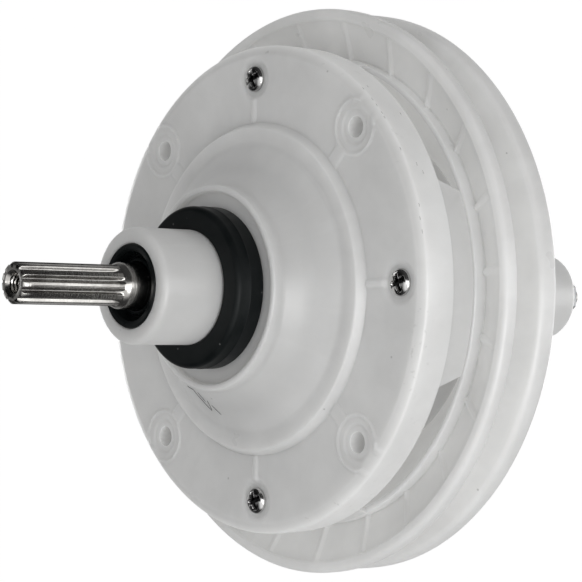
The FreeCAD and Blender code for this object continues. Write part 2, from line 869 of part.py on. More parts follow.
def make_planet_washers():
    """A washer on each pin above and below its planet gear."""
    washers = []
    for degrees in angles(planet_count):
        for bottom in (top_plate_bottom - planet_washer_thickness, bottom_plate_top):
            top = bottom + planet_washer_thickness
            washer = ring(planet_pin_radius + press_clearance, planet_washer_radius, bottom, top)
            washer.translate(vector(planet_circle_radius, degrees, 0))
            washers.append(washer)
    return Part.makeCompound(washers)


def make_planet_gear(degrees):
    """One planet gear. With these tooth counts all four sit in mesh without being turned."""
    gear = external_gear(planet_teeth, planet_bottom, planet_top)
    gear = gear.cut(disc(planet_pin_radius + running_clearance, planet_bottom, planet_top))
    gear.translate(vector(planet_circle_radius, degrees, 0))
    return gear


def make_sun_gear():
    """Sun gear with the hub that rests on its thrust washer."""
    gear = external_gear(sun_teeth, planet_bottom, planet_top)
    hub = disc(sun_hub_radius, sun_hub_bottom, planet_bottom)
    bore = disc(input_shaft_radius + press_clearance, sun_hub_bottom, planet_top)
    return gear.fuse(hub).cut(bore)


def make_pilot_bush():
    """Small bush in the output shaft that centres the top of the input shaft."""
    return ring(
        pilot_radius + running_clearance,
        pilot_radius + pilot_bush_wall - press_clearance,
        top_plate_bottom,
        pilot_top,
    )


def make_input_shaft():
    """Steel input shaft: pilot, journal, two flats in the pulley hub and a threaded end."""
    flats_top = hub_top
    flats_bottom = hub_bottom + insert_recess
    body = turned([
        (0, input_shaft_bottom),
        (thread_radius - thread_end_chamfer, input_shaft_bottom),
        (thread_radius, input_shaft_bottom + thread_end_chamfer),
        (thread_radius, flats_bottom),
        (input_shaft_radius, flats_bottom),
        (input_shaft_radius, planet_top),
        (pilot_radius, planet_top),
        (pilot_radius, pilot_top - pilot_chamfer),
        (pilot_radius - pilot_chamfer, pilot_top),
        (0, pilot_top),
    ])
    groove = ring(
        input_shaft_radius - clip_groove_depth,
        input_shaft_radius + cut_margin,
        input_clip_top - clip_thickness - press_clearance,
        input_clip_top + press_clearance,
    )
    half_flat = input_shaft_radius - shaft_flat_depth
    flats = []
    for side in (-1, 1):
        corner = half_flat if side > 0 else -half_flat - input_shaft_radius
        flats.append(Part.makeBox(
            4 * input_shaft_radius,
            input_shaft_radius,
            flats_top - flats_bottom,
            FreeCAD.Vector(-2 * input_shaft_radius, corner, flats_bottom),
        ))
    return body.cut([groove] + flats)


def make_pulley():
    """Moulded pulley: drum, ribbed pocket, belt groove, rear rim and the deep bell with its hub."""
    bore = input_shaft_radius + insert_wall
    bell_slope_end = hub_radius + bell_foot_width
    bell_knee_radius = bell_top_radius - bell_taper
    bell_end = bell_knee - (bell_knee_radius - bell_slope_end)
    inner_knee = bell_knee + pulley_wall * (math.sqrt(2) - 1)
    inner_knee_radius = drum_radius - bell_taper
    gusset_outer = rear_rim_radius - rear_rim_wall
    inner_end = inner_knee - (inner_knee_radius - hub_radius)
    body = turned([
        (drum_radius, drum_top, 0.3),
        (drum_radius + drum_wall, drum_top, 0.5),
        (drum_radius + drum_wall, pocket_floor, 0.6),
        (lip_inner_radius, lip_top - lip_land, 0.4),
        (lip_inner_radius + 0.3, lip_top, 0.6),
        (lip_radius, lip_top, 1.7),
        (lip_radius, groove_top, 0.5),
        (groove_floor_radius, groove_middle + groove_floor_half, 0.5),
        (groove_floor_radius, groove_middle - groove_floor_half, 0.5),
        (rear_rim_radius, groove_bottom, 0.5),
        (rear_rim_radius, rim_bottom, 1.6),
        (gusset_outer, rim_bottom, 0.8),
        (gusset_outer, groove_bottom - rear_rim_floor, 1.0),
        (bell_top_radius, groove_middle - groove_floor_half - pulley_wall, 1.0),
        (bell_knee_radius, bell_knee, bell_corner_round),
        (bell_slope_end, bell_end, 5.0),
        (hub_radius, bell_end - bell_foot_depth, 2.0),
        (hub_radius, hub_bottom, hub_end_round),
        (bore, hub_bottom),
        (bore, hub_top),
        (hub_radius, hub_top, 0.8),
        (hub_radius, inner_end, 1.2),
        (inner_knee_radius, inner_knee, bell_corner_round - pulley_wall),
    ])
    added = []
    for degrees in angles(pulley_rib_count, pulley_rib_phase):
        added.append(plate([
            (drum_radius + drum_wall - root_overlap, pocket_floor - root_overlap),
            (drum_radius + drum_wall - root_overlap, drum_top - pulley_rib_drop),
            (drum_radius + drum_wall + pulley_rib_run, drum_top - pulley_rib_drop / 3),
            (lip_inner_radius + root_overlap, lip_top - lip_land),
            (lip_inner_radius + root_overlap, lip_top - lip_land - root_overlap),
        ], pulley_rib_thickness, degrees))
        added.append(plate([
            (bell_knee_radius, groove_middle - groove_floor_half - pulley_wall + root_overlap),
            (gusset_outer + root_overlap, groove_bottom - rear_rim_floor + root_overlap),
            (gusset_outer + root_overlap, rim_bottom + rear_gusset_rise),
            (bell_knee_radius, rim_bottom + root_overlap),
        ], pulley_rib_thickness, degrees))
    rib_start = bell_top_radius - bell_rib_start
    rib_start_z = bell_knee - (bell_knee_radius - rib_start)
    rib_foot = bell_slope_end + bell_rib_end
    for degrees in angles(bell_rib_count):
        added.append(plate([
            (rib_start, rib_start_z + cut_margin),
            (rib_start - bell_rib_lead_in, rib_start_z - bell_rib_lead_in - bell_rib_height),
            (rib_foot, bell_end + bell_rib_end - bell_rib_height),
            (bell_slope_end, bell_end - root_overlap),
            (bell_slope_end, bell_end + cut_margin),
        ], bell_rib_thickness, degrees))
    for degrees in angles(hub_gusset_count):
        bell_at_hub_top = inner_knee_radius - (inner_knee - hub_top)
        added.append(plate([
            (hub_radius - root_overlap, hub_top - hub_gusset_drop),
            (hub_radius - root_overlap, inner_end - root_overlap),
            (hub_radius, inner_end - root_overlap),
            (bell_at_hub_top, hub_top - root_overlap),
            (bell_at_hub_top - hub_gusset_drop, hub_top),
            (hub_radius + hub_gusset_drop, hub_top - hub_gusset_drop),
        ], bell_rib_thickness, degrees))
    return body.fuse(added)


def make_pulley_hub_insert():
    """Steel sleeve moulded into the hub, with a bore of two flats."""
    sleeve = disc(input_shaft_radius + insert_wall - press_clearance, hub_bottom, hub_top)
    bore = disc(input_shaft_radius + press_clearance, hub_bottom, hub_top)
    half_flat = input_shaft_radius - shaft_flat_depth + press_clearance
    between = Part.makeBox(
        4 * input_shaft_radius, 2 * half_flat, hub_length,
        FreeCAD.Vector(-2 * input_shaft_radius, -half_flat, hub_bottom),
    )
    return sleeve.cut(bore.common(between))


def make_end_washer():
    """Plain washer under the nut."""
    return ring(thread_radius + bolt_gap, end_washer_radius, end_washer_bottom, hub_bottom)


def make_spring_washer():
    """Split spring washer, pressed flat by the nut."""
    band = ring(thread_radius + bolt_gap, spring_washer_radius, spring_washer_bottom, end_washer_bottom)
    slot = Part.makeBox(
        spring_washer_radius + cut_margin,
        spring_washer_slot,
        3 * spring_washer_thickness,
        FreeCAD.Vector(0, -spring_washer_slot / 2, spring_washer_bottom - spring_washer_thickness),
    )
    slot.rotate(FreeCAD.Vector(0, 0, spring_washer_bottom), FreeCAD.Vector(1, 0, 0), spring_washer_turn)
    return band.cut(slot)


def make_nut():
    """Hexagon nut with its corners turned down at both ends."""
    corner_radius = nut_across_flats / math.sqrt(3)
    points = [vector(corner_radius, degrees, nut_bottom) for degrees in angles(6, 30)]
    hexagon = Part.Face(Part.makePolygon(points + points[:1])).extrude(FreeCAD.Vector(0, 0, nut_height))
    edge = corner_radius - nut_across_flats / 2
    barrel = turned([
        (thread_radius + press_clearance, nut_bottom),
        (nut_across_flats / 2, nut_bottom),
        (corner_radius, nut_bottom + edge * nut_edge_share),
        (corner_radius, spring_washer_bottom - edge * nut_edge_share),
        (nut_across_flats / 2, spring_washer_bottom),
        (thread_radius + press_clearance, spring_washer_bottom),
    ])
    return hexagon.common(barrel)


def make_cover_screws():
    """Four self-tapping screws with domed cross-recess heads, down through the cover into the lugs."""
    seat = -screw_recess_depth
    head_top = seat + screw_head_height
    tip = seat - screw_length
    screws = []
    for degrees in angles(screw_count):
        profile = outline_face([
            (0, tip),
            (screw_radius * screw_point_share, tip, 0.2),
            (screw_radius, tip + screw_point_length),
            (screw_radius, seat),
            (screw_head_radius, seat),
            (screw_head_radius, seat + 0.35 * screw_head_height, 0.8),
            (screw_dome_share * screw_head_radius, head_top - screw_dome_drop, 2.0),
            (0, head_top),
        ])
        screw = profile.revolve(FreeCAD.Vector(0, 0, 0), FreeCAD.Vector(0, 0, 1), 360)
        for turn in (0, 90):
            slot = Part.makeBox(
                cross_span,
                cross_width,
                cross_depth + cut_margin,
                FreeCAD.Vector(-cross_span / 2, -cross_width / 2, head_top - cross_depth),
            )
            slot.rotate(FreeCAD.Vector(0, 0, 0), FreeCAD.Vector(0, 0, 1), turn + degrees + cross_turn)
            screw = screw.cut(slot)
        screw.translate(vector(screw_circle_radius, degrees, 0))
        screws.append(screw)
    return Part.makeCompound(screws)


sub_parts = {
    "upper_cover": make_upper_cover(),
    "lower_casing": make_lower_casing(),
    "casing_gasket": make_casing_gasket(),
    "ring_gear": make_ring_gear(),
    "tub_seal_ring": make_tub_seal_ring(),
    "output_oil_seal": make_oil_seal(
        output_shaft_radius, output_seal_radius, output_seal_floor, output_seal_thickness, 1
    ),
    "output_seal_spring": make_garter_spring(output_shaft_radius, output_seal_floor, 1),
    "upper_output_bush": make_bush(
        output_shaft_radius, output_bush_wall, upper_bush_bottom, clip_pocket_floor
    ),
    "lower_output_bush": make_bush(output_shaft_radius, output_bush_wall, bush_tube_end, lower_bush_top),
    "output_thrust_washer": make_thrust_washer(output_shaft_radius, output_washer_bottom),
    "output_circlip": make_clip(output_shaft_radius, output_clip_bottom),
    "output_shaft": make_output_shaft(),
    "carrier_thrust_washer": make_thrust_washer(output_shaft_radius, carrier_washer_bottom),
    "carrier_top_plate": make_carrier_top_plate(),
    "carrier_bottom_plate": make_carrier_bottom_plate(),
    "planet_pins": make_planet_pins(),
    "planet_washers": make_planet_washers(),
    "sun_gear": make_sun_gear(),
    "sun_thrust_washer": make_thrust_washer(input_shaft_radius, sun_washer_bottom),
    "pilot_bush": make_pilot_bush(),
    "input_shaft": make_input_shaft(),
    "upper_input_bush": make_bush(
        input_shaft_radius, input_bush_wall, upper_input_bush_bottom, casing_floor_top
    ),
    "lower_input_bush": make_bush(
        input_shaft_radius, input_bush_wall, lower_input_bush_bottom, lower_input_bush_top
    ),
    "input_circlip": make_clip(input_shaft_radius, input_clip_top - clip_thickness),
    "input_oil_seal": make_oil_seal(
        input_shaft_radius, input_seal_radius, input_seal_ceiling, input_seal_thickness, -1
    ),
    "input_seal_spring": make_garter_spring(input_shaft_radius, input_seal_ceiling, -1),
    "pulley": make_pulley(),
    "pulley_hub_insert": make_pulley_hub_insert(),
    "end_washer": make_end_washer(),
    "spring_washer": make_spring_washer(),
    "pulley_nut": make_nut(),
    "cover_screws": make_cover_screws(),
}
for number, degrees in enumerate(angles(planet_count), start=1):
    sub_parts["planet_gear_" + str(number)] = make_planet_gear(degrees)

os.makedirs("parts", exist_ok=True)
for name, shape in sub_parts.items():
    shape.exportStep("parts/" + name + ".step")
    print(name, len(shape.Solids), round(shape.Volume), shape.isValid())
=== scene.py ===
import json
import math

import bmesh
import bpy
import numpy as np
from mathutils import Matrix, Vector


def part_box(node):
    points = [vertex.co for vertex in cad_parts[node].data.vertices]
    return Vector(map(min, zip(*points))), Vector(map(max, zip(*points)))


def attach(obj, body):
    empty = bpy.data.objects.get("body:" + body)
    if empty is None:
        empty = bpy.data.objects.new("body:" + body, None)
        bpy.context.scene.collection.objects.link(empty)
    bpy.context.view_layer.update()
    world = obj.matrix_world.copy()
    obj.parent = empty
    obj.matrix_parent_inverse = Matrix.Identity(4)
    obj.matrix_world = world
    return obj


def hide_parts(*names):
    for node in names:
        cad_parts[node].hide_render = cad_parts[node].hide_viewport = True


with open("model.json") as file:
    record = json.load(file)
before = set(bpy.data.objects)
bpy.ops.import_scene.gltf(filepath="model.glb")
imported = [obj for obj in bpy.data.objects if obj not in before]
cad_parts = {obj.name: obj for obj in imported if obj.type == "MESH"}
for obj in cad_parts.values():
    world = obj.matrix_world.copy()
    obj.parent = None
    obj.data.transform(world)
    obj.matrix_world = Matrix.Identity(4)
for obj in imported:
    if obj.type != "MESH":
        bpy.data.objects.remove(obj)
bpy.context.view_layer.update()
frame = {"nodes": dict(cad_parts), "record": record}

scene = bpy.context.scene
scene.view_settings.view_transform = "Standard"


# Camera
# The gearbox was photographed from the tub side with its shaft pointing left. A pinhole fitted to its
# coaxial circles gives the lens and where the middle of the flange lies: to the right, down and ahead.
camera_yaw = math.radians(49.594)
camera_pitch = math.radians(1.111)
camera_roll = math.radians(1.68)
focal_pixels = 2235.86
picture_pixels = 582
flange_from_camera = Vector((-0.009637, -0.000511, 0.59623))

shaft_seen = Vector((
    -math.sin(camera_yaw) * math.cos(camera_pitch),
    -math.sin(camera_pitch),
    -math.cos(camera_yaw) * math.cos(camera_pitch),
))
side_seen = shaft_seen.cross(Vector((0, 1, 0))).normalized()
top_seen = shaft_seen.cross(side_seen)
x_seen = side_seen * math.cos(camera_roll) + top_seen * math.sin(camera_roll)
y_seen = top_seen * math.cos(camera_roll) - side_seen * math.sin(camera_roll)
seen_axes = (x_seen, y_seen, shaft_seen)
view_right = Vector([axis.x for axis in seen_axes])
view_up = -Vector([axis.y for axis in seen_axes])
view_back = -Vector([axis.z for axis in seen_axes])


def new_object(name, data):
    """Object that shows its data, linked to the scene."""
    thing = bpy.data.objects.new(name, data)
    scene.collection.objects.link(thing)
    return thing


camera_data = bpy.data.cameras.new("photo_camera")
camera_data.sensor_width = 36
camera_data.lens = camera_data.sensor_width * focal_pixels / picture_pixels
camera_data.clip_start = 0.01
camera = new_object("photo_camera", camera_data)
turn = Matrix((view_right, view_up, view_back)).transposed()
place = -Vector([flange_from_camera.dot(axis) for axis in seen_axes])
camera.matrix_world = Matrix.Translation(place) @ turn.to_4x4()
scene.camera = camera


# Studio
# A plain white floor well below the gearbox and a soft room that is brighter towards the lower right,
# where the main lamp stands. The camera sees white paper, and bare metal mirrors a room with dark walls.
floor_height = -0.80
floor_half = 6.0
floor_color = (0.9, 0.9, 0.9, 1)
white = (1, 1, 1, 1)
room_strength = 0.57
lean_right = 0.15
lean_up = -0.14
paper_share = 0.92
paper_glow = 1.05
strip_half_height = 0.27
strip_core = 0.12
strip_brightness = 2.4
dark_wall = 0.07
far_wall_span = (-0.35, -0.8)
far_wall_brightness = 0.5
left_wall_span = (-0.3, -0.9)
left_wall_share = 0.1
front_span = (0.35, 0.7)
front_brightness = 1.15
front_height_span = (0.25, -0.05)


def feed(tree, node, values):
    """Give a node's inputs by name: a link from another socket, or else a plain value."""
    for name, value in values.items():
        if isinstance(value, bpy.types.NodeSocket):
            tree.links.new(value, node.inputs[name])
        else:
            node.inputs[name].default_value = value


def add_node(tree, kind, values=None, **settings):
    """New node with its settings by attribute and its inputs by name."""
    node = tree.nodes.new(kind)
    for name, value in settings.items():
        setattr(node, name, value)
    feed(tree, node, values or {})
    return node


def remap(tree, value, low, high, out_low=0.0, out_high=1.0):
    """Stretch a value from one span to another, clamped."""
    node = add_node(tree, "ShaderNodeMapRange", {
        "Value": value, "From Min": low, "From Max": high, "To Min": out_low, "To Max": out_high,
    })
    return node.outputs["Result"]


def combine(tree, operation, first, second=0.0):
    """One arithmetic node."""
    return add_node(tree, "ShaderNodeMath", {0: first, 1: second}, operation=operation).outputs[0]


def times(tree, first, *others):
    """Product of two or more values."""
    for other in others:
        first = combine(tree, "MULTIPLY", first, other)
    return first


def measure(tree, operation, vector, axis=(0, 0, 0)):
    """Length of a vector, or its reach along an axis."""
    return add_node(tree, "ShaderNodeVectorMath", {0: vector, 1: axis}, operation=operation).outputs["Value"]


def choose(tree, share, first, second):
    """Number between two others, the second where the share is 1."""
    return add_node(tree, "ShaderNodeMix", {0: share, 2: first, 3: second}, data_type="FLOAT").outputs[0]


def group_tree(name, numbers, results):
    """Empty shader node group that takes a vector and named numbers, and gives named numbers."""
    tree = bpy.data.node_groups.new(name, "ShaderNodeTree")
    tree.interface.new_socket("Vector", in_out="INPUT", socket_type="NodeSocketVector")
    for label in numbers:
        tree.interface.new_socket(label, in_out="INPUT", socket_type="NodeSocketFloat")
    for label in results:
        tree.interface.new_socket(label, in_out="OUTPUT", socket_type="NodeSocketFloat")
    return tree, tree.nodes.new("NodeGroupInput").outputs, tree.nodes.new("NodeGroupOutput")


def place_group(tree, group, vector, numbers=None):
    """Outputs of a node group placed in a tree, with a vector and numbers of its own."""
    values = {"Vector": vector, **(numbers or {})}
    return add_node(tree, "ShaderNodeGroup", values, node_tree=group).outputs


mirror_tree, mirror_in, mirror_out = group_tree("mirrored_room", [], ["To Right", "To Top", "Brightness"])
to_right, to_top, to_camera = [
    measure(mirror_tree, "DOT_PRODUCT", mirror_in["Vector"], axis)
    for axis in (view_right, view_up, view_back)
]
off_level = combine(mirror_tree, "ABSOLUTE", to_top)
strip = remap(mirror_tree, off_level, strip_half_height, strip_core, dark_wall, strip_brightness)
far_wall = remap(mirror_tree, to_camera, *far_wall_span, dark_wall, far_wall_brightness)
left_wall = remap(mirror_tree, to_right, *left_wall_span, 1.0, left_wall_share)
far_side = times(mirror_tree, combine(mirror_tree, "MAXIMUM", strip, far_wall), left_wall)
front = remap(mirror_tree, to_camera, *front_span, 0.0, front_brightness)
lower_front = times(mirror_tree, front, remap(mirror_tree, to_top, *front_height_span))
brightness = combine(mirror_tree, "MAXIMUM", far_side, lower_front)
feed(mirror_tree, mirror_out, {"To Right": to_right, "To Top": to_top, "Brightness": brightness})

world = bpy.data.worlds.new("white_room")
scene.world = world
world.cycles.sampling_method = "NONE"
world.use_nodes = True
room = world.node_tree
room.nodes.clear()
ray = add_node(room, "ShaderNodeLightPath").outputs
room_direction = add_node(room, "ShaderNodeTexCoord").outputs["Generated"]
sky = place_group(room, mirror_tree, room_direction)
rightward = times(room, sky["To Right"], lean_right)
upward = times(room, sky["To Top"], lean_up)
lean = combine(room, "ADD", rightward, upward)
soft_light = times(room, combine(room, "ADD", lean, 1.0), room_strength)
unseen = choose(room, ray["Is Glossy Ray"], soft_light, sky["Brightness"])
seen = choose(room, ray["Is Camera Ray"], unseen, 1.0)
background = add_node(room, "ShaderNodeBackground", {"Color": white, "Strength": seen})
add_node(room, "ShaderNodeOutputWorld", {"Surface": background.outputs[0]})

floor_material = bpy.data.materials.new("floor_paper")
floor_material.use_nodes = True
floor_material.cycles.emission_sampling = "NONE"
floor_tree = floor_material.node_tree
floor_tree.nodes.clear()
floor_ray = add_node(floor_tree, "ShaderNodeLightPath").outputs
matt = add_node(floor_tree, "ShaderNodeBsdfDiffuse", {"Color": floor_color})
glow = add_node(floor_tree, "ShaderNodeEmission", {"Color": white, "Strength": paper_glow})
share = times(floor_tree, floor_ray["Is Camera Ray"], paper_share)
seen_floor = add_node(floor_tree, "ShaderNodeMixShader", {0: share, 1: matt.outputs[0], 2: glow.outputs[0]})
floor_place = add_node(floor_tree, "ShaderNodeTexCoord").outputs["Object"]
below = add_node(floor_tree, "ShaderNodeVectorMath", {0: floor_place}, operation="NORMALIZE")
mirrored = place_group(floor_tree, mirror_tree, below.outputs["Vector"])["Brightness"]
mirrored_floor = add_node(floor_tree, "ShaderNodeEmission", {"Color": white, "Strength": mirrored})
floor_mix = add_node(floor_tree, "ShaderNodeMixShader", {
    0: floor_ray["Is Glossy Ray"], 1: seen_floor.outputs[0], 2: mirrored_floor.outputs[0],
})
add_node(floor_tree, "ShaderNodeOutputMaterial", {"Surface": floor_mix.outputs[0]})
floor_mesh = bpy.data.meshes.new("floor")
floor_mesh.from_pydata(
    [(x * floor_half, y * floor_half, floor_height) for x, y in ((-1, -1), (1, -1), (1, 1), (-1, 1))],
    [],
    [(0, 1, 2, 3)],
)
floor_mesh.materials.append(floor_material)
floor = new_object("floor", floor_mesh)


def soft_box(name, right, up, back, distance, size, watts):
    """Square lamp placed by the camera's axes and turned to the object."""
    direction = (view_right * right + view_up * up + view_back * back).normalized()
    data = bpy.data.lights.new(name, "AREA")
    data.shape = "SQUARE"
    data.size = size
    data.energy = watts
    lamp = new_object(name, data)
    turn = direction.to_track_quat("Z", "Y").to_matrix().to_4x4()
    lamp.matrix_world = Matrix.Translation(direction * distance) @ turn


soft_box("key_box", right=0.13, up=-0.12, back=0.42, distance=0.46, size=0.22, watts=0.65)


# Milky plastic
# The cover, casing and pulley are injection moulded in natural polypropylene: milky, a little
# translucent, with a satin skin, faint flow streaks from the gate and dust in the corners. They all
# get a faint painted glow, and a stronger one where light would come through thin walls.
milky_color = (0.60, 0.60, 0.595)
milky_dust_color = (0.33, 0.33, 0.32)
# Painted glow: a faint one on all milky plastic, and up to this much more where a mask asks for it.
painted_skin_glow = 0.04
painted_through_glow = 0.30
flow_stretch = 8.0
grain_scale = 2600.0


def noise(tree, vector, scale, detail=2.0, roughness=0.5):
    """Value of a noise texture."""
    return add_node(tree, "ShaderNodeTexNoise", {
        "Vector": vector, "Scale": scale, "Detail": detail, "Roughness": roughness,
    }).outputs["Fac"]


def off_axis(tree, vector):
    """The three parts of a place, and its distance from the gearbox's axis."""
    parts = add_node(tree, "ShaderNodeSeparateXYZ", {"Vector": vector}).outputs
    across = add_node(tree, "ShaderNodeCombineXYZ", {"X": parts["X"], "Y": parts["Y"]})
    return parts, measure(tree, "LENGTH", across.outputs["Vector"])


def bumped(tree, height, strength, distance):
    """Normal of a surface with a fine relief."""
    return add_node(tree, "ShaderNodeBump", {
        "Height": height, "Strength": strength, "Distance": distance,
    }).outputs["Normal"]


def mix_color(tree, share, first, second):
    """Blend of two colours."""
    first, second = [(*color, 1) if isinstance(color, tuple) else color for color in (first, second)]
    return add_node(tree, "ShaderNodeMix", {0: share, 6: first, 7: second}, data_type="RGBA").outputs[2]


def principled(name):
    """New material: its tree, shader and Object coordinates."""
    material = bpy.data.materials.new(name)
    material.use_nodes = True
    tree = material.node_tree
    shader = tree.nodes["Principled BSDF"]
    where = add_node(tree, "ShaderNodeTexCoord").outputs["Object"]
    return material, tree, shader, where


flow_tree, flow_in, flow_out = group_tree(
    "moulding_flow", ["Mottle Scale", "Streak Scale"], ["Mottle", "Streaks", "Grain"]
)
flow_parts, flow_reach = off_axis(flow_tree, flow_in["Vector"])
bearing = combine(flow_tree, "ARCTAN2", flow_parts["Y"], flow_parts["X"])
flow_vector = add_node(flow_tree, "ShaderNodeCombineXYZ", {
    "X": combine(flow_tree, "COSINE", bearing),
    "Y": combine(flow_tree, "SINE", bearing),
    "Z": times(flow_tree, combine(flow_tree, "ADD", flow_reach, flow_parts["Z"]), flow_stretch),
}).outputs["Vector"]
feed(flow_tree, flow_out, {
    "Mottle": noise(flow_tree, flow_in["Vector"], flow_in["Mottle Scale"], 4.0, 0.6),
    "Streaks": noise(flow_tree, flow_vector, flow_in["Streak Scale"], 3.0),
    "Grain": noise(flow_tree, flow_in["Vector"], grain_scale, 2.0, 0.6),
})

speck_tree, speck_in, speck_out = group_tree("specks", ["Scale", "Size", "Share"], ["Mask"])
cells = add_node(speck_tree, "ShaderNodeTexVoronoi", {
    "Vector": speck_in["Vector"], "Scale": speck_in["Scale"],
})
chance = add_node(speck_tree, "ShaderNodeSeparateColor", {"Color": cells.outputs["Color"]})
chosen = combine(speck_tree, "LESS_THAN", chance.outputs["Red"], speck_in["Share"])
dot = combine(speck_tree, "LESS_THAN", cells.outputs["Distance"], speck_in["Size"])
feed(speck_tree, speck_out, {"Mask": times(speck_tree, chosen, dot)})

scuff_tree, scuff_in, scuff_out = group_tree("edge_scuffs", ["Edge Radius", "Edge Width"], ["Mask"])
scuff_reach = off_axis(scuff_tree, scuff_in["Vector"])[1]
off_edge = combine(scuff_tree, "SUBTRACT", scuff_reach, scuff_in["Edge Radius"])
near_edge = remap(scuff_tree, combine(scuff_tree, "ABSOLUTE", off_edge), scuff_in["Edge Width"], 0.0)
nicks = remap(scuff_tree, noise(scuff_tree, scuff_in["Vector"], 420.0), 0.64, 0.70)
patches = remap(scuff_tree, noise(scuff_tree, scuff_in["Vector"], 45.0), 0.52, 0.62)
feed(scuff_tree, scuff_out, {"Mask": times(scuff_tree, nicks, patches, near_edge)})


def milky_plastic(name, lightness, seed, edge_radius=0.0, painted_glow=0.0, painted_shade=None):
    """Moulded skin with its own flow and a faint painted glow all over. It may be scuffed along an edge, and
    given more painted glow and painted shade by masks.
    """
    material, tree, shader, where = principled(name)
    moved = add_node(tree, "ShaderNodeMapping", {"Vector": where, "Location": (0, 0, seed)}).outputs[0]
    flow = place_group(tree, flow_tree, moved, {"Mottle Scale": 38.0, "Streak Scale": 7.0})
    specks = place_group(tree, speck_tree, where, {"Scale": 170.0, "Size": 0.055, "Share": 0.06})["Mask"]
    scuffs = place_group(tree, scuff_tree, where, {"Edge Radius": edge_radius, "Edge Width": 0.0022})["Mask"]
    dark, light, streaky, shade_tone = [
        tuple(channel * lightness * share for channel in milky_color) for share in (0.93, 1.05, 1.09, 0.78)
    ]
    clouded = mix_color(tree, remap(tree, flow["Mottle"], 0.35, 0.68), dark, light)
    streaked = mix_color(tree, remap(tree, flow["Streaks"], 0.58, 0.72, 0.0, 0.35), clouded, streaky)
    # Painted shade, mixed in where a shade mask is given.
    if painted_shade:
        streaked = mix_color(tree, painted_shade(tree, where), streaked, shade_tone)
    darkening = times(tree, combine(tree, "MAXIMUM", specks, scuffs), 0.55)
    # Emission that paints light into the plastic: the faint painted glow everywhere, more where a
    # painted-glow mask is given.
    if callable(painted_glow):
        painted_glow_strength = combine(tree, "ADD", times(tree, painted_glow(tree, where), painted_through_glow), painted_skin_glow)
    else:
        painted_glow_strength = painted_glow * painted_through_glow + painted_skin_glow
    skin = combine(tree, "ADD", flow["Grain"], times(tree, flow["Mottle"], 4.0))
    worn_skin = combine(tree, "SUBTRACT", skin, times(tree, scuffs, 3.0))
    feed(tree, shader, {
        "Base Color": mix_color(tree, darkening, streaked, milky_dust_color),
        "Roughness": remap(tree, flow["Mottle"], 0.3, 0.7, 0.27, 0.33),
        "Subsurface Weight": 1.0,
        "Subsurface Radius": (1.0, 0.98, 0.95),
        "Subsurface Scale": 0.006,
        "IOR": 1.49,
        "Emission Color": (1, 1, 0.99, 1),
        "Emission Strength": painted_glow_strength,
        "Normal": bumped(tree, worn_skin, 0.10, 0.0002),
    })
    return material


# Cover
# The round cover is one moulding: the flange that bolts up under the tub, a low step ring, the cone,
# the collar for the rubber ring and the neck for the shaft. Four screws hold it to the casing.
mm = 0.001
flange_radius = 65.0
flange_depth = 10.3
flange_plate = 4.0
rim_inside = 62.0
skirt_radius = 48.0
register_radius = 41.6
register_bore = 38.2
roof_height = 9.9
tube_radius = 12.6
step_foot = 44.3
step_edge = 43.0
step_height = 2.6
collar_radius = 27.0
collar_height = 16.0
mouth_radius = 25.3
neck_radius = 15.0
seat_radius = 14.75
seal_bore = 11.0
seal_ledge = 9.5
bush_bore = 8.0
screw_circle = 56.3
screw_boss_radius = 5.4
screw_rib_half = 0.9
screw_rib_height = 0.5
screw_rib_stop = screw_circle - 4.2
recess_radius = 5.2
recess_depth = 0.55
bolt_circle = 40 * math.sqrt(2)
bolt_hole_radius = 2.8
bolt_boss_radius = 6.4
bolt_rib_half = 2.0
bolt_rib_height = 0.3
bolt_rib_stop = bolt_circle - 6.8
ring_inside = 6.7
ring_outside = 7.5
ring_height = 0.4
dish_radius = 4.6
dish_depth = 0.4
# Painted glow inside the bolt holes and along the flange's thin edge.
hole_painted_glow = 0.1
edge_painted_glow = 0.3
edge_painted_glow_width = 2.0
scuffed_radius = flange_radius - 1.2
# Painted shade that darkens the cone, the collar and the neck.
cone_shade_from = 2.5
cone_shade_above = 6.5
cone_shade_share = 0.42


def bottom_of(node):
    """Lowest height of a CAD node, in millimetres."""
    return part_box(node)[0][2] / mm


def top_of(node):
    """Greatest height of a CAD node, in millimetres."""
    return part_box(node)[1][2] / mm


seat_height = bottom_of("tub_seal_ring")
rubber_top = top_of("tub_seal_ring")
seal_floor = bottom_of("output_oil_seal")


def rounded_outline(corners, steps=6):
    """Outline from corners (radius, height) or (radius, height, rounding)."""
    points = []
    for index, corner in enumerate(corners):
        here = Vector(corner[:2])
        if len(corner) == 2:
            points.append(here)
            continue
        before = Vector(corners[index - 1][:2]) - here
        after = Vector(corners[(index + 1) % len(corners)][:2]) - here
        half = before.angle(after) / 2
        setback = min(corner[2] / math.tan(half), 0.49 * min(before.length, after.length))
        radius = setback * math.tan(half)
        start = here + before.normalized() * setback
        end = here + after.normalized() * setback
        centre = here + (before.normalized() + after.normalized()).normalized() * (radius / math.sin(half))
        sweep = (start - centre).angle_signed(end - centre)
        for step in range(steps + 1):
            spoke = start - centre
            spoke.rotate(Matrix.Rotation(-sweep * step / steps, 2))
            points.append(centre + spoke)
    return np.array(points)


def between(start, end, count):
    """Evenly spaced points on the straight stretch between two corners, without its ends."""
    return [
        tuple(start[axis] + (end[axis] - start[axis]) * step / (count + 1) for axis in (0, 1))
        for step in range(1, count + 1)
    ]


def new_piece(name, mesh, material, body, nodes, smooth_angle=40):
    """Object from a finished mesh, shaded smooth, riding on its body in place of CAD nodes."""
    mesh.polygons.foreach_set("use_smooth", [True] * len(mesh.polygons))
    mesh.set_sharp_from_angle(angle=math.radians(smooth_angle))
    mesh.materials.clear()
    mesh.materials.append(material)
    piece = new_object(name, mesh)
    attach(piece, body)
    if nodes:
        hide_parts(*nodes)
    return piece


def filled(mesh, shape):
    """Mesh that takes over a closed shape, with its faces turned outwards."""
    bmesh.ops.recalc_face_normals(shape, faces=shape.faces)
    shape.to_mesh(mesh)
    shape.free()
    return mesh


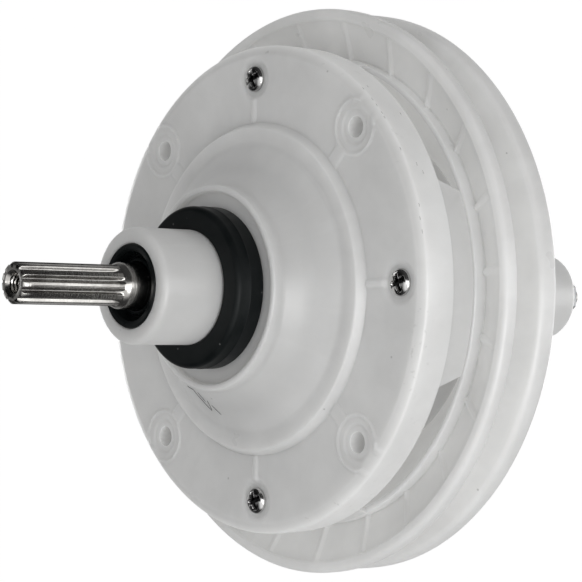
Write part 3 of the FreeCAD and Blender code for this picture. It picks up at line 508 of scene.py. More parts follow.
def lathe(name, outline, columns, move=None, closed=True):
    """Mesh of an outline turned about Z. An outline that starts and ends on the axis isn't closed."""
    outline = np.asarray(outline, float)
    radius, bearing = np.meshgrid(outline[:, 0], columns)
    height = np.meshgrid(outline[:, 1], columns)[0]
    if move is not None:
        radius, height = move(radius, height, bearing)
    points = np.stack([radius * np.cos(bearing), radius * np.sin(bearing), height], -1).reshape(-1, 3) * mm
    index = np.arange(radius.size).reshape(radius.shape)
    ahead = np.roll(index, -1, 0)
    faces = np.stack([index, ahead, np.roll(ahead, -1, 1), np.roll(index, -1, 1)], -1)
    if not closed:
        faces = faces[:, :-1]
    mesh = bpy.data.meshes.new(name)
    mesh.from_pydata(points.tolist(), [], faces.reshape(-1, 4).tolist())
    shape = bmesh.new()
    shape.from_mesh(mesh)
    bmesh.ops.remove_doubles(shape, verts=shape.verts, dist=1e-7)
    return filled(mesh, shape)


def even_columns(count):
    """Angles all round, evenly spaced."""
    return np.arange(count) * 2 * math.pi / count


def detailed_columns(centres, half_span, fine, coarse):
    """Angles all round, closer together near the given centres. The steps are in degrees."""
    half_span, fine, coarse = map(math.radians, (half_span, fine, coarse))
    turn = 2 * math.pi
    edges = sorted(((centre - half_span) % turn, (centre + half_span) % turn) for centre in centres)
    columns = []
    for number, (start, end) in enumerate(edges):
        span = (end - start) % turn
        count = round(span / fine)
        columns.extend(start + span * np.arange(count) / count)
        gap = (edges[(number + 1) % len(edges)][0] - end) % turn
        count = max(1, round(gap / coarse))
        columns.extend(end + gap * np.arange(count) / count)
    return np.array(columns)


def ease(share):
    """0 below 0 and 1 above 1, with a soft passage between."""
    share = np.clip(share, 0, 1)
    return share * share * (3 - 2 * share)


def smooth_step(value, width):
    """0 below and 1 above zero, with a soft passage of the given width."""
    return ease(value / width + 0.5)


def place_at(radius, bearing, height):
    """Point at a radius, a bearing and a height."""
    return Vector((radius * math.cos(bearing), radius * math.sin(bearing), height))


def pegs(name, places, radius, bottom, top, sides=64):
    """Plain upright cylinders at (distance, bearing) places, as one mesh."""
    shape = bmesh.new()
    for distance, bearing in places:
        spot = place_at(distance, bearing, (top + bottom) / 2) * mm
        bmesh.ops.create_cone(
            shape, cap_ends=True, segments=sides, radius1=radius * mm, radius2=radius * mm,
            depth=(top - bottom) * mm, matrix=Matrix.Translation(spot),
        )
    return filled(bpy.data.meshes.new(name), shape)


def cut_or_join(mesh, tool, operation):
    """Boolean of two closed meshes, as a new mesh."""
    body = new_object("boolean_body", mesh)
    cutter = new_object("boolean_tool", tool)
    modifier = body.modifiers.new("boolean", "BOOLEAN")
    modifier.operation = operation
    modifier.solver = "EXACT"
    modifier.object = cutter
    graph = bpy.context.evaluated_depsgraph_get()
    result = bpy.data.meshes.new_from_object(body.evaluated_get(graph))
    bpy.data.objects.remove(body)
    bpy.data.objects.remove(cutter)
    return result


def flange_relief(radius, bearing):
    """Height of the flange's face: ribs, screw recesses and the rings and dishes of the bolt holes."""
    height = np.zeros_like(radius)
    for number in range(8):
        at_bolt = number % 2
        along = radius * np.cos(bearing - number * math.pi / 4)
        across = abs(radius * np.sin(bearing - number * math.pi / 4))
        distance = np.hypot(along - (bolt_circle if at_bolt else screw_circle), across)
        if at_bolt:
            rib = smooth_step(bolt_rib_half - across, 0.5) * smooth_step(bolt_rib_stop - along, 0.5)
            ring = smooth_step(ring_outside - distance, 0.4) * smooth_step(distance - ring_inside, 0.4)
            height = height + np.maximum(bolt_rib_height * rib * (along > 0), ring_height * ring)
            height = height - dish_depth * smooth_step(dish_radius - distance, 0.6)
        else:
            rib = smooth_step(screw_rib_half - across, 0.9) * smooth_step(screw_rib_stop - along, 1.6)
            recess = smooth_step(recess_radius - distance, 1.6)
            height = height + screw_rib_height * rib * (along > 0) * (1 - recess) - recess_depth * recess
    return height


def move_flange_face(radius, height, bearing):
    """Add the relief to the points of the flange's face."""
    on_face = (abs(height) < 0.3) & (radius > step_foot) & (radius < flange_radius - 2.2)
    return radius, height + np.where(on_face, flange_relief(radius, bearing), 0)


face_start = 45.0
face_end = flange_radius - 4.2
cover_bottom = bottom_of("upper_cover")
neck_top = top_of("upper_cover")
lower_bush_floor = bottom_of("lower_output_bush")
lower_bush_top = top_of("lower_output_bush")
upper_bush_floor = bottom_of("upper_output_bush")
upper_bush_top = top_of("upper_output_bush")
cover_outline = rounded_outline([
    (rim_inside, -flange_plate, 1.0),
    (skirt_radius, -flange_plate, 1.0),
    (skirt_radius, -flange_depth),
    (register_radius, -flange_depth),
    (register_radius, cover_bottom, 0.3),
    (register_bore, cover_bottom),
    (register_bore, -1.0, 2.0),
    (34.9, -1.0, 3.0),
    (23.4, roof_height, 3.0),
    (tube_radius, roof_height, 1.0),
    (tube_radius, lower_bush_floor, 0.5),
    (bush_bore, lower_bush_floor),
    (bush_bore, lower_bush_top),
    (bush_bore - 0.8, lower_bush_top),
    (bush_bore - 0.8, upper_bush_floor),
    (bush_bore, upper_bush_floor),
    (bush_bore, upper_bush_top),
    (seal_ledge, upper_bush_top),
    (seal_ledge, seal_floor),
    (seal_bore, seal_floor),
    (seal_bore, neck_top, 0.5),
    (neck_radius, neck_top, 1.7),
    (neck_radius, rubber_top),
    (seat_radius, rubber_top),
    (seat_radius, seat_height),
    (mouth_radius, seat_height, 0.6),
    (mouth_radius, collar_height, 0.5),
    (collar_radius, collar_height, 0.7),
    (collar_radius, collar_height - 3.4, 3.0),
    (31.55, 6.6, 14.0),
    (38.5, step_height, 4.0),
    (step_edge, step_height, 0.7),
    (step_foot, 0.0, 0.4),
    (face_start, 0.0),
    *between((face_start, 0.0), (face_end, 0.0), 44),
    (face_end, 0.0),
    (flange_radius - 2.7, 0.0, 2.0),
    (flange_radius, -1.3, 1.0),
    (flange_radius, -flange_depth, 0.3),
    (rim_inside, -flange_depth),
])
cover_columns = detailed_columns(even_columns(8), 8.4, fine=0.36, coarse=1.6)
cover_mesh = lathe("cover", cover_outline, cover_columns, move_flange_face)
bolt_places = [(bolt_circle, (number + 0.5) * math.pi / 2) for number in range(4)]
screw_places = [(screw_circle, number * math.pi / 2) for number in range(4)]
boss_top = 0.5 - flange_plate
hole_bottom = -14.0
hole_top = 4.0
for boss_places, boss_radius in ((screw_places, screw_boss_radius), (bolt_places, bolt_boss_radius)):
    bosses = pegs("bosses", boss_places, boss_radius, -flange_depth, boss_top)
    cover_mesh = cut_or_join(cover_mesh, bosses, "UNION")
bolt_holes = pegs("bolt_holes", bolt_places, bolt_hole_radius, hole_bottom, hole_top)
cover_mesh = cut_or_join(cover_mesh, bolt_holes, "DIFFERENCE")


def painted_glow_thin_places(tree, where):
    """Share of painted glow in the bolt holes and on the flange's thin edge, standing in for light through
    their walls.
    """
    parts, reach = off_axis(tree, where)
    hole = bolt_circle / math.sqrt(2) * mm
    off_hole = add_node(tree, "ShaderNodeCombineXYZ", {
        axis: combine(tree, "SUBTRACT", combine(tree, "ABSOLUTE", parts[axis]), hole) for axis in ("X", "Y")
    }).outputs["Vector"]
    inside = combine(tree, "LESS_THAN", measure(tree, "LENGTH", off_hole), (bolt_hole_radius + 0.1) * mm)
    edge_start = (flange_radius - edge_painted_glow_width) * mm
    edge = remap(tree, reach, edge_start, flange_radius * mm, 0.0, edge_painted_glow)
    return combine(tree, "MAXIMUM", times(tree, inside, hole_painted_glow), edge)


def painted_cone_shade(tree, where):
    """Share of painted shade on the cone, the collar and the neck, above the step ring."""
    height = off_axis(tree, where)[0]["Z"]
    return remap(tree, height, cone_shade_from * mm, cone_shade_above * mm, 0.0, cone_shade_share)


cover_plastic = milky_plastic(
    "cover_plastic", lightness=1.12, seed=0.3, edge_radius=scuffed_radius * mm, painted_glow=painted_glow_thin_places,
    painted_shade=painted_cone_shade,
)
new_piece("cover_moulding", cover_mesh, cover_plastic, "housing", ["upper_cover"])


# Marks on the cover
# A pen left a few hair-thin strokes on the foot of the cone, and handling left short dark scratches
# on the flange's edge: thin closed threads, half sunk into the plastic. The strokes are given by
# bearing in degrees and radius in millimetres, the scratches by bearing and height.
stroke_half_width = 0.11
scratch_half_width = 0.05
scratch_reach = 0.5
pen_strokes = (
    ((228, 34.8), (234, 33.1), (242, 33.7), (249, 34.8)),
    ((247, 32.3), (249, 34.6)),
    ((250, 32.9), (256, 34.5)),
    ((239, 32.1), (245, 33.1)),
)
scratch_places = (
    (51, -3.8), (50, -1.5), (46, -1.5), (44, -1.5), (41.5, -1.5), (41.5, -7.9), (40, -1.4), (31, -1.3),
    (27, -4.6), (25, -5.8), (17, -1.4), (14, -1.1), (11, -1.1),
)
cone_foot = np.array(sorted(tuple(point) for point in cover_outline if 28 < point[0] < 42 and point[1] > 2))
outer_edge = np.array(sorted(
    (height, radius) for radius, height in cover_outline if radius > 62.5 and -8.6 < height < -0.01
))


def on_cone(degrees, radius):
    """Point of the cone's foot at a bearing and a radius."""
    return place_at(radius, math.radians(degrees), np.interp(radius, cone_foot[:, 0], cone_foot[:, 1]))


def on_edge(degrees, height):
    """Point of the flange's rounded edge at a bearing and a height."""
    return place_at(np.interp(height, outer_edge[:, 0], outer_edge[:, 1]), math.radians(degrees), height)


def thread(shape, points, half_width, sides=5):
    """Thin closed tube through the points, which thins out at both ends."""
    rings = []
    for number, point in enumerate(points):
        ahead = points[min(number + 1, len(points) - 1)] - points[max(number - 1, 0)]
        across = ahead.cross(Vector((0, 0, 1))).normalized()
        upward = across.cross(ahead).normalized()
        reach = half_width * (0.6 if number in (0, len(points) - 1) else 1.0)
        rings.append([
            shape.verts.new((point + (across * math.cos(turn) + upward * math.sin(turn)) * reach) * mm)
            for turn in even_columns(sides)
        ])
    for ring, following in zip(rings, rings[1:]):
        for side in range(sides):
            beside = (side + 1) % sides
            shape.faces.new((ring[side], ring[beside], following[beside], following[side]))
    shape.faces.new(rings[0])
    shape.faces.new(rings[-1])


marks_shape = bmesh.new()
for stroke in pen_strokes:
    bends = [end for first, second in zip(stroke, stroke[1:]) for end in (first, *between(first, second, 5))]
    thread(marks_shape, [on_cone(*bend) for bend in [*bends, stroke[-1]]], stroke_half_width)
for degrees, height in scratch_places:
    turn = math.degrees(scratch_reach / flange_radius)
    places = [on_edge(degrees + turn * share, height) for share in (-1, 0, 1)]
    thread(marks_shape, places, scratch_half_width)
marks_mesh = filled(bpy.data.meshes.new("marks"), marks_shape)
ink, ink_tree, ink_shader, ink_where = principled("dry_ink")
blots = noise(ink_tree, ink_where, 700.0)
feed(ink_tree, ink_shader, {
    "Base Color": mix_color(ink_tree, blots, (0.03, 0.03, 0.035), (0.16, 0.16, 0.165)),
    "Roughness": 0.6,
})
new_piece("cover_marks", marks_mesh, ink, "housing", [])


# Rubber ring
# A thick ring of black rubber grips the neck and seals it in the hole of the tub's floor. It is
# compression moulded, with rounded edges, a faint parting line and dust on its dull skin.
rubber_radius = 21.2
rubber_bore = seat_radius + 0.02
rubber_color = (0.0045, 0.0062, 0.0066)
rubber_dust_color = (0.16, 0.16, 0.16)


def black_rubber(name, roughness_low, roughness_high):
    """Dull black rubber with a powdery bloom and a few specks of dust."""
    material, tree, shader, where = principled(name)
    flow = place_group(tree, flow_tree, where, {"Mottle Scale": 160.0})
    specks = place_group(tree, speck_tree, where, {"Scale": 520.0, "Size": 0.13, "Share": 0.10})["Mask"]
    bloom = remap(tree, flow["Mottle"], 0.4, 0.75, 0.0, 0.03)
    dull = mix_color(tree, bloom, rubber_color, rubber_dust_color)
    feed(tree, shader, {
        "Base Color": mix_color(tree, times(tree, specks, 0.6), dull, rubber_dust_color),
        "Roughness": remap(tree, flow["Mottle"], 0.3, 0.7, roughness_low, roughness_high),
        "Specular IOR Level": 0.14,
        "Normal": bumped(tree, flow["Grain"], 0.25, 0.00006),
    })
    return material


rubber_middle = (seat_height + rubber_top) / 2
rubber_outline = rounded_outline([
    (rubber_bore, seat_height, 0.3),
    (rubber_radius, seat_height, 0.5),
    (rubber_radius, rubber_middle - 0.15),
    (rubber_radius + 0.08, rubber_middle),
    (rubber_radius, rubber_middle + 0.15),
    (rubber_radius, rubber_top, 1.5),
    (rubber_bore + 0.6, rubber_top, 0.3),
    (rubber_bore, rubber_top - 0.5, 0.3),
])
rubber = black_rubber("ring_rubber", 0.34, 0.50)
rubber_mesh = lathe("rubber_ring", rubber_outline, even_columns(240))
new_piece("rubber_ring", rubber_mesh, rubber, "housing", ["tub_seal_ring"])


# Oil seal
# The lip seal in the mouth of the neck is nitrile rubber moulded on a steel shell. Its outer face is
# open: a raised rim, a trough and the lip that runs on the shaft.
seal_top = top_of("output_oil_seal")
journal_radius = 6.0
seal_outline = rounded_outline([
    (seal_bore - 0.02, seal_floor),
    (seal_bore - 0.02, seal_top - 0.6),
    (seal_bore - 0.4, seal_top, 0.3),
    (seal_bore - 2.0, seal_top - 0.25, 0.8),
    (seal_bore - 2.7, seal_top - 3.4, 0.6),
    (journal_radius + 1.7, seal_top - 3.6, 0.3),
    (journal_radius + 1.2, seal_top - 2.3, 0.3),
    (journal_radius + 0.5, seal_top - 2.1, 0.2),
    (journal_radius + 0.05, seal_top - 3.2),
    (journal_radius + 0.4, seal_floor + 2.6, 0.3),
    (journal_radius + 0.05, seal_floor + 1.2),
    (journal_radius + 1.2, seal_floor, 0.3),
    (journal_radius + 1.5, seal_floor + 2.2, 0.4),
    (seal_bore - 1.3, seal_floor + 2.2, 0.4),
    (seal_bore - 1.3, seal_floor),
])
seal_rubber = black_rubber("seal_rubber", 0.22, 0.36)
seal_mesh = lathe("lip_seal", seal_outline, even_columns(160))
new_piece("lip_seal", seal_mesh, seal_rubber, "housing", ["output_oil_seal"])


# Output shaft
# The shaft is turned from bright steel. Eleven rounded splines carry the pulsator and run out in a
# shallow scoop above the ground journal, and an M6 thread in the tip takes the pulsator's screw.
spline_count = 11
spline_crest = 5.27
spline_root = 4.3
spline_start = 46.4
spline_runout = 2.4
spline_turn = math.radians(-5.7)
crest_share = 0.30
root_share = 0.16
tip_chamfer = 0.6
thread_radius = 2.5
thread_depth = 18.0
thread_pitch = 1.0
thread_height = 0.28
shaft_bottom = bottom_of("output_shaft")
shaft_top = top_of("output_shaft")
clip_bottom = bottom_of("output_circlip")
clip_top = top_of("output_circlip")
pilot_bore = 4.4
pilot_end = top_of("pilot_bush") + 1.0
steel_color = (0.47, 0.46, 0.44)
steel_dark = (0.22, 0.21, 0.20)
recess_shade_color = (0.035, 0.035, 0.035)
marks_across = 60.0

machining_tree, machining_in, machining_out = group_tree(
    "machining_marks", ["Rings Per Metre"], ["Marks", "Stains"]
)
spot = add_node(machining_tree, "ShaderNodeSeparateXYZ", {"Vector": machining_in["Vector"]}).outputs
drawn_out = add_node(machining_tree, "ShaderNodeCombineXYZ", {
    "X": times(machining_tree, spot["X"], marks_across),
    "Y": times(machining_tree, spot["Y"], marks_across),
    "Z": times(machining_tree, spot["Z"], machining_in["Rings Per Metre"]),
}).outputs["Vector"]
feed(machining_tree, machining_out, {
    "Marks": noise(machining_tree, drawn_out, 1.0, 3.0, 0.7),
    "Stains": noise(machining_tree, machining_in["Vector"], 120.0, 3.0, 0.6),
})


def machined_steel(name, light, dark, rough_low, rough_high, rings=5200.0, depth=0.00003, shaded_by=None):
    """Bare metal with turning marks across the axis, thin stains and, by an attribute, painted shade in a
    recess.
    """
    material, tree, shader, where = principled(name)
    machining = place_group(tree, machining_tree, where, {"Rings Per Metre": rings})
    stained = mix_color(tree, remap(tree, machining["Stains"], 0.45, 0.75), light, dark)
    # Painted shade, darker where the attribute marks a recess.
    if shaded_by:
        darkening = add_node(tree, "ShaderNodeAttribute", attribute_name=shaded_by).outputs["Fac"]
        stained = mix_color(tree, remap(tree, darkening, 0.15, 0.6), stained, recess_shade_color)
    feed(tree, shader, {
        "Base Color": stained,
        "Metallic": 1.0,
        "Roughness": remap(tree, machining["Stains"], 0.3, 0.75, rough_low, rough_high),
        "Normal": bumped(tree, machining["Marks"], 0.6, depth),
    })
    return material


def move_spline(radius, height, bearing):
    """Sink the grooves between the splines, and cut the thread in the tip's hole."""
    phase = (bearing - spline_turn) * spline_count / (2 * math.pi)
    from_crest = abs(phase - np.round(phase)) * 2
    share = ease((from_crest - crest_share) / (1 - crest_share - root_share))
    run = np.clip((height - spline_start) / spline_runout, 0, 1)
    depth = (spline_crest - spline_root) * share * np.sqrt(run)
    crown = 0.05 * (from_crest / crest_share) ** 2 * (from_crest < crest_share)
    outside = (height > spline_start) & (radius > 4.4)
    radius = np.where(outside, np.minimum(radius, spline_crest - depth - crown), radius)
    turns = height / thread_pitch - bearing / (2 * math.pi)
    wave = 1 - 2 * abs(turns - np.round(turns))
    threaded = (radius > 2.3) & (radius < 2.9) & (height > shaft_top - thread_depth + 1)
    return radius + np.where(threaded, thread_height * (wave - 0.5), 0), height


thread_top = shaft_top - 0.5
shaft_outline = np.array([
    (0, pilot_end),
    (pilot_bore, pilot_end),
    (pilot_bore, shaft_bottom),
    (journal_radius - 0.4, shaft_bottom),
    (journal_radius, shaft_bottom + 0.4),
    (journal_radius, clip_bottom - 0.02),
    (journal_radius - 0.4, clip_bottom - 0.02),
    (journal_radius - 0.4, clip_top + 0.02),
    (journal_radius, clip_top + 0.02),
    (journal_radius, spline_start - 1.45),
    (journal_radius - 0.07, spline_start - 1.2),
    (journal_radius - 0.62, spline_start - 0.1),
    (spline_crest, spline_start + 0.05),
    *between((spline_crest, spline_start), (spline_crest, spline_start + spline_runout), 9),
    *between((spline_crest, spline_start + spline_runout), (spline_crest, shaft_top - tip_chamfer), 8),
    (spline_crest, shaft_top - tip_chamfer),
    (spline_crest - 0.35, shaft_top - 0.25),
    (spline_crest - tip_chamfer, shaft_top),
    (thread_radius + 0.75, shaft_top),
    (thread_radius + 0.3, thread_top),
    *between((thread_radius, thread_top), (thread_radius, shaft_top - 9), 60),
    (thread_radius, shaft_top - thread_depth),
    (0, shaft_top - thread_depth - 1.3),
])
shaft_steel = machined_steel("shaft_steel", steel_color, steel_dark, 0.13, 0.24, 2400.0, 0.00010)
shaft_mesh = lathe("splined_shaft", shaft_outline, even_columns(264), move_spline, closed=False)
new_piece("splined_shaft", shaft_mesh, shaft_steel, "output", ["output_shaft"], 50)


# Cover screws
# Four nickel-plated self-tapping screws with domed heads and cross recesses hold the cover down on
# the casing's lugs. Their heads lie in shallow recesses round the holes, and their cross recesses
# are darkened with painted shade.
head_radius = 3.5
head_seat = -1.0
head_top = top_of("cover_screws")
screw_tip = bottom_of("cover_screws")
shank_radius = 2.0
cross_half_width = 0.62
cross_reach = 2.5
cross_depth = 1.6
cross_turn = math.radians(20)
nickel_color = (0.66, 0.655, 0.65)
nickel_dark = (0.20, 0.20, 0.20)


def cross_recess(radius, bearing):
    """Depth of the cross recess, 0 outside it and 1 in the middle."""
    depth = np.zeros_like(radius)
    for turn in (0, math.pi / 2):
        along = abs(radius * np.cos(bearing - cross_turn - turn))
        across = abs(radius * np.sin(bearing - cross_turn - turn))
        arm = smooth_step(cross_half_width - across, 0.22) * smooth_step(cross_reach - along, 0.35)
        depth = np.maximum(depth, arm * (1 - 0.45 * np.clip(along / cross_reach, 0, 1)))
    return depth


def move_cross(radius, height, bearing):
    """Press the cross recess into the domed head."""
    on_dome = height > head_seat + 0.9
    return radius, height - np.where(on_dome, cross_depth * cross_recess(radius, bearing), 0)


dome_foot = head_seat + 0.8
dome_bulge = 0.92
dome_rise = head_top - head_seat - 0.8
dome = [
    (head_radius * math.sin(angle) ** dome_bulge, dome_foot + dome_rise * math.cos(angle))
    for angle in np.linspace(math.pi / 2, 0, 26)[1:-1]
]
screw_outline = [
    (0, screw_tip),
    (shank_radius * 0.35, screw_tip + 0.2),
    (shank_radius, screw_tip + 2.4),
    (shank_radius, head_seat),
    (head_radius - 0.15, head_seat),
    (head_radius, head_seat + 0.2),
    (head_radius, head_seat + 0.7),
    *dome,
    (0, head_top),
]
screw_mesh = lathe("screw", screw_outline, even_columns(72), move_cross, closed=False)
# The cross recess's share is stored on the points, to paint shade into it.
x, y, height = np.array([vertex.co[:] for vertex in screw_mesh.vertices]).T / mm
recess_share = cross_recess(np.hypot(x, y), np.arctan2(y, x)) * (height > head_seat)
screw_mesh.attributes.new("recess", "FLOAT", "POINT").data.foreach_set("value", recess_share)
nickel = machined_steel("screw_nickel", nickel_color, nickel_dark, 0.08, 0.18, 300.0, 0.00001, "recess")

screw_tree = bpy.data.node_groups.new("screws_round_the_flange", "GeometryNodeTree")
screw_inputs = {"Screw": "Object", "Count": "Int", "Circle Radius": "Float", "Material": "Material"}
for label, kind in screw_inputs.items():
    screw_tree.interface.new_socket(label, in_out="INPUT", socket_type="NodeSocket" + kind)
screw_tree.interface.new_socket("Geometry", in_out="OUTPUT", socket_type="NodeSocketGeometry")
given = screw_tree.nodes.new("NodeGroupInput").outputs
result = screw_tree.nodes.new("NodeGroupOutput")
circle = add_node(screw_tree, "GeometryNodeMeshCircle", {
    "Vertices": given["Count"], "Radius": given["Circle Radius"],
})
screw_info = add_node(screw_tree, "GeometryNodeObjectInfo", {"Object": given["Screw"]})
number = add_node(screw_tree, "GeometryNodeInputIndex").outputs[0]
heading = times(screw_tree, number, combine(screw_tree, "DIVIDE", 2 * math.pi, given["Count"]))
facing = add_node(screw_tree, "ShaderNodeCombineXYZ", {"Z": heading})
placed = add_node(screw_tree, "GeometryNodeInstanceOnPoints", {
    "Points": circle.outputs["Mesh"], "Instance": screw_info.outputs["Geometry"],
    "Rotation": facing.outputs["Vector"],
})
real = add_node(screw_tree, "GeometryNodeRealizeInstances", {"Geometry": placed.outputs["Instances"]})
coated = add_node(screw_tree, "GeometryNodeSetMaterial", {
    "Geometry": real.outputs["Geometry"], "Material": given["Material"],
})
feed(screw_tree, result, {"Geometry": coated.outputs["Geometry"]})


def run_tree(name, tree, values):
    """Evaluate a Geometry Nodes tree with named inputs and return its mesh."""
    host = new_object(name, bpy.data.meshes.new(name))
    modifier = host.modifiers.new(name, "NODES")
    modifier.node_group = tree
    for item in tree.interface.items_tree:
        if item.item_type == "SOCKET" and item.in_out == "INPUT":
            modifier[item.identifier] = values[item.name]
    graph = bpy.context.evaluated_depsgraph_get()
    mesh = bpy.data.meshes.new_from_object(host.evaluated_get(graph))
    bpy.data.objects.remove(host)
    return mesh


screw_sample = new_object("screw_sample", screw_mesh)
screws_mesh = run_tree("flange_screws", screw_tree, {
    "Screw": screw_sample, "Count": 4, "Circle Radius": screw_circle * mm, "Material": nickel,
})
bpy.data.objects.remove(screw_sample)
new_piece("flange_screws", screws_mesh, nickel, "housing", ["cover_screws"], 50)


# Pulley
# The pulley is one deep moulding: a drum round the casing, a ribbed pocket, the V groove for the
# belt, a rear rim stiffened by gussets, and a bell that narrows to the hub far behind.
drum_radius = 61.6
drum_outside = 63.3
lip_inner_radius = 73.1
lip_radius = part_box("pulley")[1][0] / mm
lip_top = top_of("pulley")
hub_end = bottom_of("pulley")
drum_top = lip_top - 2.3
pocket_floor = drum_top - 3.7
groove_top = lip_top - 3.8
groove_bottom = groove_top - 9.5
groove_middle = (groove_top + groove_bottom) / 2
groove_floor_radius = 67.5
groove_floor_half = 1.82
rear_rim_radius = 76.0
rear_rim_inner = 73.2
rear_rim_end = groove_bottom - 5.5
rear_floor = groove_middle - groove_floor_half - 3.0
bell_radius = 64.6
bell_knee = drum_top - 23.2
bell_foot_radius = 14.0
bell_foot = bell_knee - (bell_radius - 1 - bell_foot_radius)
hub_radius = 12.5
hub_bore = 8.0
hub_top = top_of("pulley_hub_insert")
inner_knee_radius = drum_radius - 1
inner_knee = bell_knee + 1.24
inner_foot = inner_knee - (inner_knee_radius - hub_radius)
pulley_rib_count = 24
pulley_rib_turn = math.radians(2.6)
pulley_rib_half = 0.8
bell_rib_count = 8
bell_rib_half = 1.1
bell_rib_height = 2.4
bell_rib_inner = 27.0
# Painted glow on the inside of the drum and in the pocket.
drum_painted_glow = 0.42
pocket_painted_glow = 0.12


def nearest(radius, height):
    """Index of the pulley outline's point nearest to a place."""
    return int(np.argmin(np.hypot(pulley_outline[:, 0] - radius, pulley_outline[:, 1] - height)))


def rib_mask(radius, bearing, count, turn, half, softness):
    """1 on evenly spaced radial ribs and 0 between them."""
    pitch = 2 * math.pi / count
    away = (bearing - turn + pitch / 2) % pitch - pitch / 2
    return smooth_step(half - abs(radius * np.sin(away)), softness)


pulley_outline = rounded_outline([
    (drum_radius, drum_top, 0.7),
    (drum_outside, drum_top, 0.7),
    *between((drum_outside, drum_top), (drum_outside, pocket_floor), 3),
    (drum_outside, pocket_floor, 0.4),
    *between((drum_outside, pocket_floor), (lip_inner_radius, lip_top - 0.8), 9),
    (lip_inner_radius, lip_top - 0.8, 0.2),
    (lip_inner_radius + 0.4, lip_top, 1.0),
    (lip_radius, lip_top, 1.9),
    (lip_radius, groove_top, 0.6),
    (groove_floor_radius, groove_middle + groove_floor_half, 0.5),
    (groove_floor_radius, groove_middle - groove_floor_half, 0.5),
    (rear_rim_radius, groove_bottom, 2.0),
    (rear_rim_radius, rear_rim_end, 1.6),
    (rear_rim_inner, rear_rim_end, 0.8),
    *between((rear_rim_inner, rear_rim_end), (rear_rim_inner, groove_bottom - 2.4), 1),
    (rear_rim_inner, groove_bottom - 2.4, 0.6),
    *between((rear_rim_inner, groove_bottom - 2.4), (bell_radius, rear_floor), 6),
    (bell_radius, rear_floor, 0.8),
    *between((bell_radius, rear_floor), (bell_radius, rear_floor - 6.4), 4),
    (bell_radius - 1, bell_knee, 13.0),
    *between((bell_radius - 10, bell_knee - 9), (bell_foot_radius + 4, bell_foot + 4), 12),
    (bell_foot_radius, bell_foot, 2.0),
    (hub_radius, bell_foot - 3, 1.0),
    (hub_radius, hub_end, 4.5),
    (hub_bore, hub_end),
    (hub_bore, hub_top),
    (hub_radius, hub_top, 0.8),
    (hub_radius, inner_foot, 1.2),
    (inner_knee_radius, inner_knee, 10.0),
], 5)
pocket_first = nearest(drum_outside, drum_top - 0.4)
pocket_last = nearest(lip_inner_radius, lip_top - 0.8)
rear_first = nearest(rear_rim_inner, rear_rim_end + 0.8)
rear_last = nearest(bell_radius, rear_floor - 5.2)
front_rib_line = (
    (drum_outside, drum_top - 2.7), (drum_outside + 3, drum_top - 1.5), (lip_inner_radius, lip_top - 0.5),
)
rear_rib_line = ((bell_radius, rear_rim_end + 0.5), (rear_rim_inner, rear_rim_end + 1.5))
bell_first = nearest(bell_radius - 10, bell_knee - 9)
bell_last = nearest(bell_foot_radius + 4, bell_foot + 4)


def move_ribs(radius, height, bearing):
    """Raise the pocket's ribs, the rear rim's gussets and the ribs along the bell."""
    point = np.arange(radius.shape[1])
    front = (point >= pocket_first) & (point <= pocket_last)
    rear = (point >= rear_first) & (point <= rear_last)
    bell = (point > bell_first) & (point < bell_last)
    ribs = rib_mask(radius, bearing, pulley_rib_count, pulley_rib_turn, pulley_rib_half, 0.8)
    front_top = np.interp(radius, *zip(*front_rib_line))
    height = np.where(front, height + ribs * (np.maximum(height, front_top) - height), height)
    rear_end = np.interp(radius, *zip(*rear_rib_line))
    height = np.where(rear, height + ribs * (np.minimum(height, rear_end) - height), height)
    bell_ribs = rib_mask(radius, bearing, bell_rib_count, 0.0, bell_rib_half, 0.6)
    faded = smooth_step(radius - bell_rib_inner, 6)
    rise = np.where(bell, bell_ribs * faded * bell_rib_height * math.sqrt(0.5), 0)
    return radius + rise, height - rise


rib_bearings = pulley_rib_turn + even_columns(pulley_rib_count)
pulley_columns = detailed_columns(rib_bearings, 3.2, fine=0.36, coarse=1.4)
pulley_mesh = lathe("pulley", pulley_outline, pulley_columns, move_ribs)


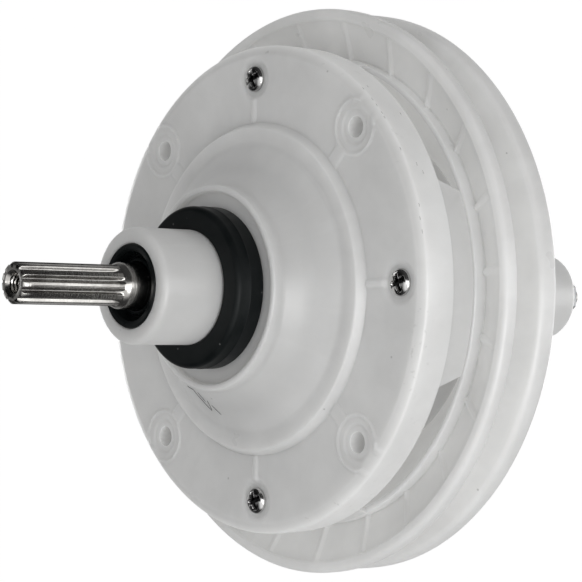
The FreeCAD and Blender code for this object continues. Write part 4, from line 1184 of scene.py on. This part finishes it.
def painted_glow_through_drum(tree, where):
    """Share of painted glow on the drum's inside and a little of it in the pocket, standing in for light
    through the drum.
    """
    parts, reach = off_axis(tree, where)
    above_wall = combine(tree, "SUBTRACT", parts["Z"], reach)
    inner = combine(tree, "LESS_THAN", reach, (drum_radius + 0.3) * mm)
    upper = combine(tree, "GREATER_THAN", above_wall, (inner_knee - inner_knee_radius - 1.5) * mm)
    beyond_drum = remap(tree, reach, drum_radius * mm, drum_outside * mm)
    before_lip = remap(tree, reach, (lip_inner_radius + 0.5) * mm, (lip_inner_radius - 2) * mm)
    in_front = combine(tree, "GREATER_THAN", parts["Z"], (pocket_floor - 0.8) * mm)
    drum = times(tree, inner, upper, drum_painted_glow)
    return combine(tree, "MAXIMUM", drum, times(tree, beyond_drum, before_lip, in_front, pocket_painted_glow))


pulley_plastic = milky_plastic("pulley_plastic", lightness=1.22, seed=1.7, painted_glow=painted_glow_through_drum)
new_piece("pulley_moulding", pulley_mesh, pulley_plastic, "pulley_drive", ["pulley"])


# Pieces that keep their shape
# The casing behind the cover, the washers and nut on the tail and all that runs inside the casing
# have their final shape already and only get their finish.
# Even painted glow on the casing.
casing_painted_glow = 0.08
zinc_colors = ((0.27, 0.275, 0.28), (0.12, 0.12, 0.125))
spring_colors = ((0.30, 0.30, 0.31), (0.14, 0.14, 0.14))
bronze_colors = ((0.50, 0.34, 0.18), (0.28, 0.17, 0.08))
sintered_colors = ((0.27, 0.27, 0.275), (0.14, 0.135, 0.13))
finishes = {
    "milky_plastic": milky_plastic("casing_plastic", lightness=1.05, seed=3.1, painted_glow=casing_painted_glow),
    "black_rubber": seal_rubber,
    "spring_steel": machined_steel("spring_steel", *spring_colors, 0.25, 0.42, 2600.0),
    "sintered_bronze": machined_steel("sintered_bronze", *bronze_colors, 0.36, 0.55, 1400.0),
    "washer_steel": machined_steel("zinc_plate", *zinc_colors, 0.22, 0.40, 900.0, 0.00002),
    "bright_steel": machined_steel("ground_steel", steel_color, steel_dark, 0.14, 0.30, 6500.0, 0.00002),
    "sintered_steel": machined_steel("sintered_steel", *sintered_colors, 0.40, 0.60, 700.0, 0.00005),
    "gear_nylon": milky_plastic("gear_nylon", lightness=1.25, seed=5.3),
    "plated_screw": nickel,
}
for row in frame["record"]["subparts"]:
    node = frame["nodes"][row["node"]]
    node.data.materials.clear()
    node.data.materials.append(finishes[row["material_slot"]])
